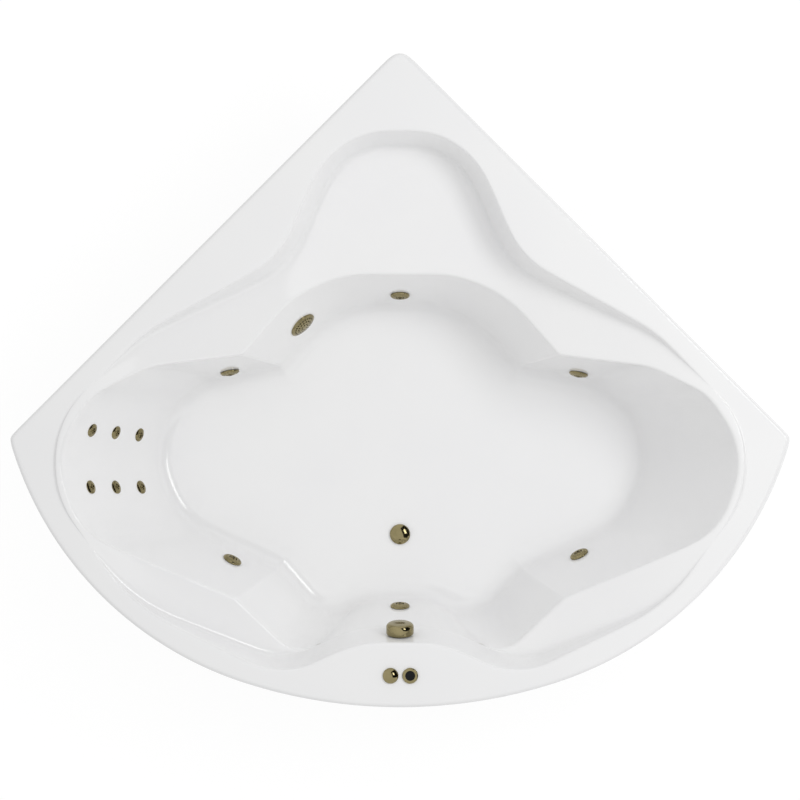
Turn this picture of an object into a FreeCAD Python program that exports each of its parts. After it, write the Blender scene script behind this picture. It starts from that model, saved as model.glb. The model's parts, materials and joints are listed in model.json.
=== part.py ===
import FreeCAD
import Part
import Sketcher
import math
import os
from types import SimpleNamespace
from FreeCAD import Placement, Rotation, Vector

# Corner jetted bath: an acrylic shell on a steel cradle, with its waste, pump, pipes and jets.
# Millimetres and degrees, +Z up, +Y towards the room corner. The origin is on the floor, under the
# middle of the deck. The bath is symmetric in X, apart from the suction grille and the back jets.

# Driving dimensions, one cell of the sheet each
SIZES = {
    # deck outline
    "leg_length": 1524,
    "deck_depth": 1803,
    "apex_round": 43,
    "tip_round": 25,
    "front_round": 1400,
    "front_join_turn": 18,
    "deck_edge_round": 10,
    "deck_skirt": 45,
    "shell_wall": 8,
    # heights, from the floor up
    "foot_gap": 50,
    "rail_size": 30,
    "rail_wall": 2.5,
    "board_thickness": 18,
    "basin_depth": 414,
    # ledge, rim wall and floor bend
    "seat_depth": 130,
    "ledge_flat_half": 270,
    "ledge_knee_half": 800,
    "ledge_knee_drop": 5,
    "lip_rise": 9,
    "ledge_round": 700,
    "rim_wall_run": 38,
    "lip_taper_run": 7,
    "floor_round": 60,
    "floor_bend_turn": 75,
    "least_round": 16,
    "overrun": 40,
    # fits
    "fit_gap": 0.3,
    "running_gap": 0.05,
    "seat_gap": 0.2,
    "face_stand": 0.6,
    "nut_gap": 0.6,
    "spot_sink": 0.4,
    "gasket_thickness": 1.5,
    # pipe runs
    "ring_height": 85,
    "ring_offset": 80,
    "ring_radius": 24,
    "ring_bend": 70,
    "discharge_bend": 55,
    "pipe_wall": 3,
    "air_rise": 62,
    "air_offset": 58,
    "air_radius": 12.5,
    "air_wall": 2.5,
    "riser_radius": 8,
    "riser_bend": 24,
    "riser_side": 50,
    "riser_run_drop": 190,
    # large jets
    "jet_hole_radius": 23,
    "jet_flange_radius": 25,
    "jet_flange_thickness": 2.5,
    "jet_bore_radius": 19,
    "jet_bore_depth": 35,
    "jet_barrel_length": 44,
    "jet_tail_radius": 16,
    "jet_throat_radius": 10,
    "jet_nut_radius": 33,
    "jet_nut_height": 14,
    "jet_face_radius": 27,
    "jet_face_height": 10,
    "jet_face_edge": 5,
    "jet_face_flat_radius": 14,
    "jet_face_crown": 26,
    "jet_mouth_radius": 11,
    "jet_sleeve_depth": 20,
    "jet_ball_radius": 14,
    "jet_ball_drop": 2,
    "jet_spout_radius": 7,
    "jet_spout_height": 12,
    "jet_spout_bore": 4.5,
    "air_stub_radius": 7,
    # back jets
    "back_hole_radius": 14.2,
    "back_bore_radius": 11.8,
    "back_barrel_length": 36,
    "back_tail_radius": 9,
    "back_throat_radius": 5,
    "back_collar_radius": 20,
    "back_collar_height": 4,
    "back_face_radius": 19,
    "back_face_height": 5.5,
    "back_face_edge": 2.5,
    "back_face_flat_radius": 10,
    "back_face_crown": 18,
    "back_mouth_radius": 8,
    "back_sleeve_depth": 13,
    "back_ball_radius": 9,
    "back_ball_drop": 1,
    "back_spout_radius": 5.2,
    "back_spout_height": 10,
    "back_spout_bore": 3.2,
    "back_pitch": 119,
    "branch_radius": 14,
    "branch_overhang": 30,
    "branch_lean": 50,
    # suction
    "suction_height": 125,
    "suction_hole_radius": 26.5,
    "suction_cover_radius": 40,
    "suction_cover_height": 14,
    "suction_cover_edge": 6,
    "suction_cover_wall": 3,
    "suction_flange_radius": 34,
    "suction_flange_thickness": 3,
    "suction_bore_radius": 21,
    "suction_body_length": 64,
    "suction_nut_radius": 38,
    "suction_nut_height": 14,
    "grille_hole_radius": 2.6,
    "pipe_socket_depth": 24,
    "suction_lead": 112,
    "suction_turn_reach": 205,
    # waste and overflow
    "drain_hole_radius": 22.5,
    "drain_flange_radius": 27,
    "drain_flange_thickness": 2.6,
    "drain_bore_radius": 18,
    "drain_barrel_depth": 18,
    "guide_hub_radius": 6,
    "guide_bar_width": 4,
    "guide_height": 4,
    "stem_radius": 3,
    "stem_length": 44,
    "stopper_radius": 28.5,
    "stopper_edge": 2,
    "stopper_height": 11,
    "waste_radius": 30,
    "waste_wall": 4,
    "waste_pipe_drop": 55,
    "waste_outlet_radius": 20,
    "waste_outlet_low": 12,
    "waste_foot_drop": 86,
    "overflow_height": 345,
    "overflow_hole_radius": 22,
    "overflow_spigot_radius": 12,
    "overflow_spigot_reach": 26,
    "overflow_case_radius": 28,
    "overflow_pipe_reach": 64,
    "overflow_case_length": 92,
    "overflow_pipe_radius": 20,
    "overflow_pipe_bend": 60,
    "overflow_socket_drop": 48,
    "knob_radius": 38.5,
    "knob_depth": 33,
    "knob_edge_round": 6,
    "knob_wall": 4,
    "knob_stand": 1.2,
    "cable_radius": 4,
    "cable_bend": 26,
    "cable_side": 60,
    # deck controls
    "control_inset": 88,
    "air_control_x": 26,
    "air_switch_x": 28,
    "control_hole_radius": 17,
    "control_flange_radius": 18.5,
    "control_flange_thickness": 2,
    "control_barrel_length": 58,
    "control_nut_radius": 25,
    "control_nut_height": 10,
    "control_nipple_radius": 5,
    "control_nipple_length": 22,
    "control_pin_radius": 6,
    "control_pin_depth": 16,
    "air_knob_radius": 21.5,
    "air_knob_height": 15,
    "air_knob_edge": 4,
    "bezel_radius": 21.75,
    "bezel_height": 6,
    "bezel_round": 3,
    "button_radius": 13.5,
    "button_sink": 0.6,
    "button_depth": 12,
    "button_well_depth": 20,
    "switch_tube_radius": 3,
    "switch_tube_bend": 28,
    "switch_tube_x": 80,
    # pump
    "pump_x": 150,
    "discharge_drop": 48,
    "volute_radius": 85,
    "volute_half_width": 35,
    "volute_wall": 6,
    "nozzle_radius": 30,
    "nozzle_length": 30,
    "discharge_reach": 110,
    "discharge_run": 75.6406,
    "impeller_radius": 60,
    "impeller_width": 14,
    "impeller_throat_radius": 20,
    "shaft_radius": 9,
    "motor_radius": 70,
    "motor_bore_radius": 45,
    "motor_length": 215,
    "motor_end_wall": 8,
    "core_radius": 40,
    "core_length": 120,
    "core_start": 60,
    "fan_radius": 48,
    "fan_width": 14,
    "fan_start": 12,
    "fan_cover_radius": 66,
    "fan_cover_length": 40,
    "fan_cover_wall": 4,
    "fan_mouth_radius": 20,
    "union_nut_radius": 38,
    "union_nut_length": 22,
    "base_thickness": 4,
    "base_length": 500,
    "base_width": 170,
    "saddle_length": 40,
    "saddle_width": 90,
    "saddle_inset": 25,
    "saddle_top_drop": 50,
    "box_length": 100,
    "box_width": 80,
    "box_low_rise": 55,
    "box_high_rise": 115,
    "gland_radius": 9,
    "gland_length": 18,
    "gland_bore_radius": 4,
    # cradle
    "board_length": 960,
    "board_width": 430,
    "board_lead": 57.5,
    "board_hole_radius": 40,
    "front_rail_inset": 66.5,
    "middle_rail_lead": 8.6804,
    "rear_rail_lead": 60,
    "long_rail_inset": 70,
    "tip_rail_lap": 20,
    "rear_rail_lap": 18,
    "post_size": 25,
    "post_wall": 2,
    "tip_post_inset": 72.6307,
    "rear_post_inset": 59.3112,
    "outer_foot_inset": 50,
    "inner_foot_lead": 100,
    "end_foot_inset": 40,
    "pad_radius": 24,
    "pad_height": 10,
    "stud_radius": 6,
    "stud_top_gap": 6,
    "foot_nut_radius": 11,
    "foot_nut_height": 9,
    "bolt_radius": 4,
    "bolt_head_radius": 7.5,
    "bolt_head_height": 5,
    "bolt_top_gap": 4,
}

# Half outlines, from the back middle round the left to the front middle: X as a share of half the
# deck's width, Y as a share of half its depth, corner round as a share of half its width
FLOOR_SHARES = [
    (-0.145, 0.182, 0.243),
    (-0.284, -0.012, 0.023),
    (-0.486, -0.057, 0.102),
    (-0.567, -0.126, 0.115),
    (-0.601, -0.242, 0.153),
    (-0.549, -0.399, 0.153),
    (-0.292, -0.543, 0.023),
    (-0.190, -0.684, 0.051),
    (-0.098, -0.621, 0.225),
]
BASIN_SHARES = [
    (-0.261, 0.371, 0.294),
    (-0.439, 0.089, 0.023),
    (-0.653, 0.047, 0.153),
    (-0.790, -0.045, 0.153),
    (-0.878, -0.219, 0.204),
    (-0.820, -0.459, 0.192),
    (-0.453, -0.691, 0.023),
    (-0.303, -0.888, 0.060),
    (-0.126, -0.802, 0.281),
]
RIM_SHARES = [
    (-0.170, 0.762, 0.217),
    (-0.308, 0.376, 0.230),
    (-0.650, 0.150, 0.383),
    (-0.880, -0.124, 0.243),
    (-0.880, -0.359, 0.255),
    (-0.680, -0.689, 0.434),
    (-0.303, -0.909, 0.194),
    (-0.095, -0.796, 0.383),
]

# Sides of the basin, by their places among the arcs and lines of its outline
SUCTION_SIDE = 0
LEFT_REAR_SIDE = 3
BACK_SIDE = 8
LEFT_FRONT_SIDE = 11
FRONT_SIDE = 17
RIGHT_FRONT_SIDE = 23
RIGHT_REAR_SIDE = 31
SEAT_SIDE = 35

# Places of the jets: wall, and share of the water ring's straight run behind it
JET_SHARES = {
    "seat": (SEAT_SIDE, 0.5),
    "right_rear": (RIGHT_REAR_SIDE, 0.22),
    "right_front": (RIGHT_FRONT_SIDE, 0.56),
    "front": (FRONT_SIDE, 0.5),
    "left_front": (LEFT_FRONT_SIDE, 0.61),
    "left_rear": (LEFT_REAR_SIDE, 0.59),
}
BACK_JET_SHARES = {
    "rear": (BACK_SIDE, 0.12),
    "front": (BACK_SIDE, 0.98),
}
SUCTION_SHARE = 0.87
DRAIN_SHARE = 0.4813
RING_END_SHARE = 0.8
BACK_JETS_IN_COLUMN = 3
FLOOR_BEND_STEPS = 3
ROUND_ROOM_SHARE = 0.995
SLOPE_STEP = 0.001
GRILLE_RINGS = ((7, 0.26), (14, 0.52), (21, 0.76))


class Length:
    """A size that carries its number and the sheet formula that it comes from."""

    def __init__(self, number, formula):
        self.number = float(number)
        self.formula = formula

    def __float__(self):
        return self.number

    def __neg__(self):
        return Length(-self.number, "-(%s)" % self.formula)

    def __add__(self, other):
        return Length(self.number + float(other), "(%s + %s)" % (self.formula, formula_of(other)))

    def __sub__(self, other):
        return Length(self.number - float(other), "(%s - %s)" % (self.formula, formula_of(other)))

    def __mul__(self, other):
        return Length(self.number * float(other), "(%s * %s)" % (self.formula, formula_of(other)))

    def __truediv__(self, other):
        return Length(self.number / float(other), "(%s / %s)" % (self.formula, formula_of(other)))


def formula_of(value):
    return value.formula if isinstance(value, Length) else repr(value)


# Document and sheet
doc = FreeCAD.newDocument("corner_jetted_bath")
sheet = doc.addObject("Spreadsheet::Sheet", "Sizes")
for row, (name, number) in enumerate(SIZES.items(), start=1):
    sheet.set("A%d" % row, name)
    sheet.set("B%d" % row, str(number))
    sheet.setAlias("B%d" % row, name)
doc.recompute()
dim = SimpleNamespace(**{name: Length(sheet.get(name), "Sizes." + name) for name in SIZES})
mm = SimpleNamespace(**{name: float(sheet.get(name)) for name in SIZES})

# Heights that several pieces share
rail_low = dim.foot_gap
rail_high = rail_low + dim.rail_size
board_low = rail_high + dim.rail_size
shell_low = board_low + dim.board_thickness
floor_z = shell_low + dim.shell_wall
deck_z = floor_z + dim.basin_depth
ring_z = float(floor_z) + mm.ring_height
air_z = ring_z + mm.air_rise
pump_axis_z = ring_z + mm.discharge_drop

half_width = mm.leg_length / math.sqrt(2)
half_depth = mm.deck_depth / 2
apex_y = half_depth + mm.apex_round * (math.sqrt(2) - 1)

sub_parts = []


# Helpers for document objects
def bind(thing, prop, length):
    thing.setExpression(prop, formula_of(length))


def keep(thing, label):
    thing.Label = label
    sub_parts.append(thing)
    return thing


def origin_plane(body, role):
    return [plane for plane in body.Origin.OriginFeatures if plane.Role == role][0]


def pin_corner(sketch, geometry, corner):
    for kind, axis, value in (("DistanceX", -2, corner[0]), ("DistanceY", -1, corner[1])):
        if isinstance(value, Length):
            index = sketch.addConstraint(Sketcher.Constraint(kind, -1, 1, geometry, 1, float(value)))
            sketch.setExpression("Constraints[%d]" % index, value.formula)
        else:
            sketch.addConstraint(Sketcher.Constraint("PointOnObject", geometry, 1, axis))


def crown_arc(start, end, radius):
    """An arc that bulges outwards between two corners of a profile listed counterclockwise."""
    chord = end - start
    middle = (start + end) / 2
    inward = Vector(-chord.y, chord.x, 0).normalize()
    centre = middle + inward * math.sqrt(radius ** 2 - (chord.Length / 2) ** 2)
    first = math.atan2(start.y - centre.y, start.x - centre.x)
    last = math.atan2(end.y - centre.y, end.x - centre.x)
    return Part.ArcOfCircle(Part.Circle(centre, Vector(0, 0, 1), radius), first, last)


def turned(label, corners):
    """A turned piece: corners are (radius, height), counterclockwise, or (radius, height, crown radius)
    where the profile bulges from that corner to the next one."""
    body = doc.addObject("PartDesign::Body", label)
    sketch = body.newObject("Sketcher::SketchObject", label + "_profile")
    sketch.AttachmentSupport = [(origin_plane(body, "XZ_Plane"), "")]
    sketch.MapMode = "FlatFace"
    count = len(corners)
    points = [Vector(float(corner[0]), float(corner[1]), 0) for corner in corners]
    for index, corner in enumerate(corners):
        start = points[index]
        end = points[(index + 1) % count]
        if len(corner) == 3:
            sketch.addGeometry(crown_arc(start, end, float(corner[2])), False)
        else:
            sketch.addGeometry(Part.LineSegment(start, end), False)
    for index in range(count):
        sketch.addConstraint(Sketcher.Constraint("Coincident", index, 2, (index + 1) % count, 1))
    for index, corner in enumerate(corners):
        pin_corner(sketch, index, corner)
        if len(corner) == 3:
            radius = sketch.addConstraint(Sketcher.Constraint("Radius", index, float(corner[2])))
            sketch.setExpression("Constraints[%d]" % radius, corner[2].formula)
    turn = body.newObject("PartDesign::Revolution", label + "_turn")
    turn.Profile = sketch
    turn.ReferenceAxis = (sketch, ["V_Axis"])
    turn.Angle = 360
    return body


def dome_radius(reach, rise):
    """Radius of a dome that ends level on its axis."""
    return (reach * reach + rise * rise) / (rise * 2)


def cylinder(label, radius, height, low=0):
    solid = doc.addObject("Part::Cylinder", label)
    bind(solid, "Radius", radius)
    bind(solid, "Height", height)
    bind(solid, "Placement.Base.z", low)
    return solid


def sphere(label, radius, height):
    solid = doc.addObject("Part::Sphere", label)
    bind(solid, "Radius", radius)
    bind(solid, "Placement.Base.z", height)
    return solid


def hexagon(label, radius, height, low):
    solid = doc.addObject("Part::Prism", label)
    solid.Polygon = 6
    bind(solid, "Circumradius", radius)
    bind(solid, "Height", height)
    bind(solid, "Placement.Base.z", low)
    return solid


def block(label, low, high):
    """A box between two corners given as lengths."""
    solid = doc.addObject("Part::Box", label)
    for side, axis, first, last in zip(("Length", "Width", "Height"), "xyz", low, high):
        bind(solid, side, last - first)
        bind(solid, "Placement.Base." + axis, first)
    return solid


def cut(label, base, *tools):
    for step, tool in enumerate(tools):
        result = doc.addObject("Part::Cut", "%s_cut_%d" % (label, step))
        result.Base = base
        result.Tool = tool
        base = result
    return base


def fuse(label, *pieces):
    result = doc.addObject("Part::MultiFuse", label)
    result.Shapes = list(pieces)
    return result


def group(label, pieces):
    result = doc.addObject("Part::Compound", label)
    result.Links = list(pieces)
    return keep(result, label)


def solid_of(label, shape):
    feature = doc.addObject("Part::Feature", label)
    feature.Shape = shape
    return feature


def placed(thing, placement):
    thing.Placement = placement
    return thing


# Rounded outlines: lists of (x, y, round) corners, counterclockwise from the back middle
def outline_corners(half_shares):
    left = [(x * half_width, y * half_depth, r * half_width) for x, y, r in half_shares]
    right = [(-x, y, r) for x, y, r in reversed(left)]
    return left + right


def direction(start, end):
    length = math.hypot(end[0] - start[0], end[1] - start[1])
    return (end[0] - start[0]) / length, (end[1] - start[1]) / length


def offset_corners(corners, grow):
    count = len(corners)
    moved = []
    for index, (x, y, radius) in enumerate(corners):
        before = direction(corners[index - 1], corners[index])
        after = direction(corners[index], corners[(index + 1) % count])
        bend = before[0] * after[1] - before[1] * after[0]
        lean = 1 + before[0] * after[0] + before[1] * after[1]
        shift_x = grow * (before[1] + after[1]) / lean
        shift_y = -grow * (before[0] + after[0]) / lean
        rounding = radius + grow if bend > 0 else max(radius - grow, mm.least_round)
        moved.append((x + shift_x, y + shift_y, rounding))
    return moved


def blend_corners(low, high, share):
    return [tuple(a + (b - a) * share for a, b in zip(first, last)) for first, last in zip(low, high)]


def corner_bend(corners, index):
    """Tangent points of a corner's round, before and after it, with the middle of its arc."""
    x, y, radius = corners[index]
    before = direction(corners[index - 1], corners[index])
    after = direction(corners[index], corners[(index + 1) % len(corners)])
    turn = math.acos(max(-1, min(1, before[0] * after[0] + before[1] * after[1])))
    reach = radius * math.tan(turn / 2)
    entry = (x - before[0] * reach, y - before[1] * reach)
    leave = (x + after[0] * reach, y + after[1] * reach)
    inward = direction((0, 0), (after[0] - before[0], after[1] - before[1]))
    sink = radius * (1 / math.cos(turn / 2) - 1)
    return entry, leave, (x + inward[0] * sink, y + inward[1] * sink)


def straight_run(corners, index):
    start = corner_bend(corners, index)[1]
    end = corner_bend(corners, (index + 1) % len(corners))[0]
    return start, end


def fitted_corners(corners):
    """The corners, with their rounds limited so that each run between two of them keeps a straight part."""
    count = len(corners)
    limits = [1] * count
    for index in range(count):
        following = (index + 1) % count
        start, end = corners[index][:2], corners[following][:2]
        taken = math.dist(start, corner_bend(corners, index)[1]) + math.dist(end, corner_bend(corners, following)[0])
        room = math.dist(start, end) * ROUND_ROOM_SHARE / taken
        limits[index] = min(limits[index], room)
        limits[following] = min(limits[following], room)
    return [(x, y, radius * limit) for (x, y, radius), limit in zip(corners, limits)]


def outline_edges(corners, height):
    """Arc and line edges in turn, starting with the first corner's arc."""
    corners = fitted_corners(corners)
    edges = []
    for index in range(len(corners)):
        entry, leave, middle = corner_bend(corners, index)
        arc = [Vector(*point, height) for point in (entry, middle, leave)]
        edges.append(Part.Arc(*arc).toShape())
        start, end = straight_run(corners, index)
        edges.append(Part.LineSegment(Vector(*start, height), Vector(*end, height)).toShape())
    return edges


def outline_wire(corners, height):
    return Part.Wire(outline_edges(corners, height))


def ruled_solid(sections):
    return Part.makeLoft([outline_wire(corners, height) for corners, height in sections], True, True)


# Basin: a bent floor edge, then straight leaning walls up to the deck and past it
floor_corners = outline_corners(FLOOR_SHARES)
basin_corners = outline_corners(BASIN_SHARES)
rim_corners = outline_corners(RIM_SHARES)
bend_turn = math.radians(mm.floor_bend_turn)
knee_corners = offset_corners(floor_corners, mm.floor_round * math.sin(bend_turn))
knee_height = mm.floor_round * (1 - math.cos(bend_turn))
wall_rise = mm.basin_depth - knee_height


def wall_corners(height):
    """Basin outline at a height above its floor, on the straight part of the walls."""
    return blend_corners(knee_corners, basin_corners, (height - knee_height) / wall_rise)


def basin_solid(skin, top):
    """The basin's inner form, or its outer skin when a thickness is given, up to a height."""
    sections = []
    radius = mm.floor_round + skin
    for step in range(FLOOR_BEND_STEPS + 1):
        turn = bend_turn * step / FLOOR_BEND_STEPS
        corners = offset_corners(floor_corners, radius * math.sin(turn))
        sections.append((corners, float(floor_z) + mm.floor_round - radius * math.cos(turn)))
    sections.append((offset_corners(wall_corners(top), skin), float(floor_z) + top))
    return ruled_solid(sections)


# Deck outline: two straight legs, rounded tips and a front of three arcs
def arc_edge(centre, radius, first, last, height):
    points = []
    for turn in (first, (first + last) / 2, last):
        reach = Vector(radius * math.cos(turn), radius * math.sin(turn), height)
        points.append(Vector(*centre, 0) + reach)
    return Part.Arc(*points).toShape()


def deck_wire(inset, height):
    join = math.radians(mm.front_join_turn)
    middle_centre = (0, mm.front_round - half_depth)
    toward = (-math.sin(join), -math.cos(join))
    tip = (-half_width - middle_centre[0], apex_y - half_width - middle_centre[1])
    along = tip[0] * toward[0] + tip[1] * toward[1]
    reach = tip[0] ** 2 + tip[1] ** 2
    side_round = (reach - 2 * mm.front_round * along + mm.front_round ** 2) / (2 * (mm.front_round - along))
    shift = mm.front_round - side_round
    side_centre = (middle_centre[0] + shift * toward[0], middle_centre[1] + shift * toward[1])
    slope = math.sqrt(0.5)
    start = (slope * mm.tip_round - side_centre[0], apex_y - slope * mm.tip_round - side_centre[1])
    travel = -slope * (start[0] + start[1])
    rest = start[0] ** 2 + start[1] ** 2 - (side_round - mm.tip_round) ** 2
    run = -travel + math.sqrt(travel ** 2 - rest)
    tip_centre = (side_centre[0] + start[0] - slope * run, side_centre[1] + start[1] - slope * run)
    tip_turn = math.atan2(tip_centre[1] - side_centre[1], tip_centre[0] - side_centre[0]) % (2 * math.pi)
    apex_centre = (0, apex_y - mm.apex_round / slope)
    quarter = math.pi / 2
    rounds = [
        (apex_centre, mm.apex_round, quarter / 2, 3 * quarter / 2),
        (tip_centre, mm.tip_round, 3 * quarter / 2, tip_turn),
        (side_centre, side_round, tip_turn, 3 * quarter - join),
        (middle_centre, mm.front_round, 3 * quarter - join, 3 * quarter + join),
        ((-side_centre[0], side_centre[1]), side_round, 3 * quarter + join, 6 * quarter - tip_turn),
        ((-tip_centre[0], tip_centre[1]), mm.tip_round, 6 * quarter - tip_turn, 4 * quarter + quarter / 2),
    ]
    edges = []
    for centre, radius, first, last in rounds:
        edges.append(arc_edge(centre, radius - inset, first, last, height))
    legs = []
    for index, nearest in ((0, 1), (5, 0)):
        ends = edges[index].lastVertex().Point, edges[nearest].firstVertex().Point
        legs.append(Part.LineSegment(*ends).toShape())
    return Part.Wire(Part.__sortEdges__(edges + legs))


# Acrylic shell
def ledge_tool(drop):
    """Everything above the ledge: level over the seat, rising to the deck and a raised lip at both ends."""
    knee = mm.ledge_knee_half
    end = half_width + mm.overrun
    lip_share = (end - knee) / (half_width * max(-x for x, y, r in RIM_SHARES) - knee)
    end_height = -mm.ledge_knee_drop + lip_share * (mm.ledge_knee_drop + mm.lip_rise)
    top = mm.overrun * 2
    corners = [
        (end, top, 0),
        (-end, top, 0),
        (-end, end_height - drop, 0),
        (-knee, -mm.ledge_knee_drop - drop, mm.ledge_round),
        (-mm.ledge_flat_half, -mm.seat_depth - drop, mm.ledge_round),
        (mm.ledge_flat_half, -mm.seat_depth - drop, mm.ledge_round),
        (knee, -mm.ledge_knee_drop - drop, mm.ledge_round),
        (end, end_height - drop, 0),
    ]
    points = []
    for index, corner in enumerate(corners):
        if corner[2]:
            entry, leave, middle = corner_bend(corners, index)
            points.append([entry, middle, leave])
        else:
            points.append([corner[:2]])
    edges = []
    for index, stops in enumerate(points):
        here = [Vector(x, half_depth, z + float(deck_z)) for x, z in stops]
        following = points[(index + 1) % len(points)][0]
        if len(here) == 3:
            edges.append(Part.Arc(*here).toShape())
        ahead = Vector(following[0], half_depth, following[1] + float(deck_z))
        edges.append(Part.LineSegment(here[-1], ahead).toShape())
    return Part.Face(Part.Wire(edges)).extrude(Vector(0, -mm.deck_depth, 0))


def rim_solid(skin, low, high, run, depth):
    """The rim outline drawn in by run over depth, between two heights above the deck."""
    sections = []
    for height in (low, high):
        sections.append((offset_corners(rim_corners, skin + run * height / depth), float(deck_z) + height))
    return ruled_solid(sections)


def deck_solid():
    full = Part.Face(deck_wire(0, float(deck_z) - mm.deck_skirt)).extrude(Vector(0, 0, mm.deck_skirt))
    top_edges = [edge for edge in full.Edges if edge.BoundBox.ZMin > float(deck_z) - mm.seat_gap]
    full = full.makeFillet(mm.deck_edge_round, top_edges)
    hollow = Part.Face(deck_wire(mm.shell_wall, float(deck_z) - mm.deck_skirt - mm.overrun))
    inside = hollow.extrude(Vector(0, 0, mm.deck_skirt + mm.overrun - mm.shell_wall))
    inner_edges = [edge for edge in inside.Edges if edge.BoundBox.ZMin > float(deck_z) - mm.deck_skirt]
    inside = inside.makeFillet(mm.deck_edge_round - mm.shell_wall, inner_edges)
    return full.cut(inside)


def shell_shape(holes):
    half_wall = mm.shell_wall / 2
    seat_low = -mm.seat_depth - mm.overrun
    above = ledge_tool(0)
    pieces = [deck_solid()]
    rim_skin = rim_solid(mm.shell_wall, seat_low, -half_wall, mm.rim_wall_run, mm.seat_depth)
    pieces.append(rim_skin.common(ledge_tool(mm.shell_wall)))
    pieces.append(basin_solid(mm.shell_wall, mm.basin_depth - half_wall))
    pieces.append(rim_solid(0, -half_wall, mm.overrun, -mm.lip_taper_run, mm.overrun).cut(above))
    solid = pieces[0].fuse(pieces[1:])
    rim_hollow = rim_solid(0, seat_low, mm.overrun, mm.rim_wall_run, mm.seat_depth).common(above)
    solid = solid.cut([rim_hollow, basin_solid(0, mm.basin_depth + mm.overrun)])
    return solid.cut(holes).removeSplitter()


# Frames on the walls: a point on the wet side, the normal into the basin and a level direction
def edge_point(edge, share):
    return edge.valueAt(edge.FirstParameter + (edge.LastParameter - edge.FirstParameter) * share)


def wall_patch(side):
    low = outline_edges(knee_corners, float(floor_z) + knee_height)[side]
    high = outline_edges(basin_corners, float(deck_z))[side]

    def point(along, rise):
        start = edge_point(low, along)
        return start + (edge_point(high, along) - start) * rise

    return point


def patch_slopes(point, along, rise):
    level = (point(along + SLOPE_STEP, rise) - point(along - SLOPE_STEP, rise)) / (2 * SLOPE_STEP)
    return level, point(along, 1) - point(along, 0)


def wall_frame(side, along, rise, sink):
    point = wall_patch(side)
    level, upward = patch_slopes(point, along, rise)
    normal = upward.cross(level).normalize()
    level.normalize()
    here = point(along, rise) - normal * sink
    return SimpleNamespace(point=here, normal=normal, level=level, side=side, along=along, rise=rise)


def foot_frame(side, target, sink):
    """The wall frame whose normal passes through a point behind the wall."""
    along, rise = 0.5, 0.2
    point = wall_patch(side)
    for repeat in range(12):
        level, upward = patch_slopes(point, along, rise)
        miss = target - point(along, rise)
        a, b, c = level.dot(level), level.dot(upward), upward.dot(upward)
        d, e = level.dot(miss), upward.dot(miss)
        along += (d * c - e * b) / (a * c - b * b)
        rise += (e * a - d * b) / (a * c - b * b)
    return wall_frame(side, along, rise, sink)


def frame_placement(frame):
    return Placement(frame.point, Rotation(frame.level, Vector(), frame.normal, "ZXY"))


def behind(frame, depth):
    return frame.point - frame.normal * depth


def upright(x, y, z):
    return Placement(Vector(x, y, z), Rotation())


def tube_placement(start, toward):
    return Placement(start, Rotation(Vector(0, 0, 1), toward - start))


ring_corners = offset_corners(wall_corners(mm.ring_height), mm.ring_offset)
ring_corners = [(x, y, max(r, mm.ring_bend)) for x, y, r in ring_corners]
air_corners = offset_corners(wall_corners(mm.ring_height + mm.air_rise), mm.air_offset)
air_corners = [(x, y, max(r, mm.ring_bend)) for x, y, r in air_corners]


def ring_point(side, share):
    return edge_point(outline_edges(ring_corners, ring_z)[side], share)


# Places that follow the deck, the waste and the water ring
seat_run_y = ring_point(SEAT_SIDE, 0).y
drain_y = dim.deck_depth / 2 * DRAIN_SHARE
control_y = dim.deck_depth / 2 - dim.control_inset
pump_y = dim.discharge_run + dim.discharge_reach + seat_run_y
front_rail_y = dim.deck_depth / 2 - dim.front_rail_inset
middle_rail_y = dim.middle_rail_lead + (half_width - apex_y)
rear_rail_y = pump_y + dim.rear_rail_lead
tip_post_x = -dim.tip_post_inset + half_width
rear_post_x = -rear_rail_y - dim.rear_post_inset + apex_y
long_rail_x = rear_post_x - dim.long_rail_inset

jet_frames = {}
for name, (side, share) in JET_SHARES.items():
    jet_frames[name] = foot_frame(side, ring_point(side, share), 0)
back_frames = {}
for column, (side, share) in BACK_JET_SHARES.items():
    first = foot_frame(side, ring_point(side, share), mm.spot_sink)
    slope = wall_patch(side)(first.along, 1) - wall_patch(side)(first.along, 0)
    for step in range(BACK_JETS_IN_COLUMN):
        rise = first.rise + step * mm.back_pitch / slope.Length
        back_frames["%s_%d" % (column, step + 1)] = wall_frame(side, first.along, rise, mm.spot_sink)
suction_rise = (mm.suction_height - knee_height) / wall_rise
suction_frame = wall_frame(SUCTION_SIDE, SUCTION_SHARE, suction_rise, mm.spot_sink)
overflow_frame = wall_frame(FRONT_SIDE, 0.5, (mm.overflow_height - knee_height) / wall_rise, 0)
drain_place = upright(0, -float(drain_y), float(floor_z))
air_control_place = upright(-mm.air_control_x, -float(control_y), float(deck_z))
air_switch_place = upright(mm.air_switch_x, -float(control_y), float(deck_z))


# Shell with a hole for every fitting
def hole_through(placement, radius):
    reach = mm.overrun
    hole = Part.makeCylinder(radius, reach * 2, Vector(0, 0, -reach))
    hole.Placement = placement
    return hole


def spot_face(placement, radius):
    """A flat seat that is cut into a curved wall."""
    seat = Part.makeCylinder(radius + mm.fit_gap, mm.overrun)
    seat.Placement = placement
    return seat


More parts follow.
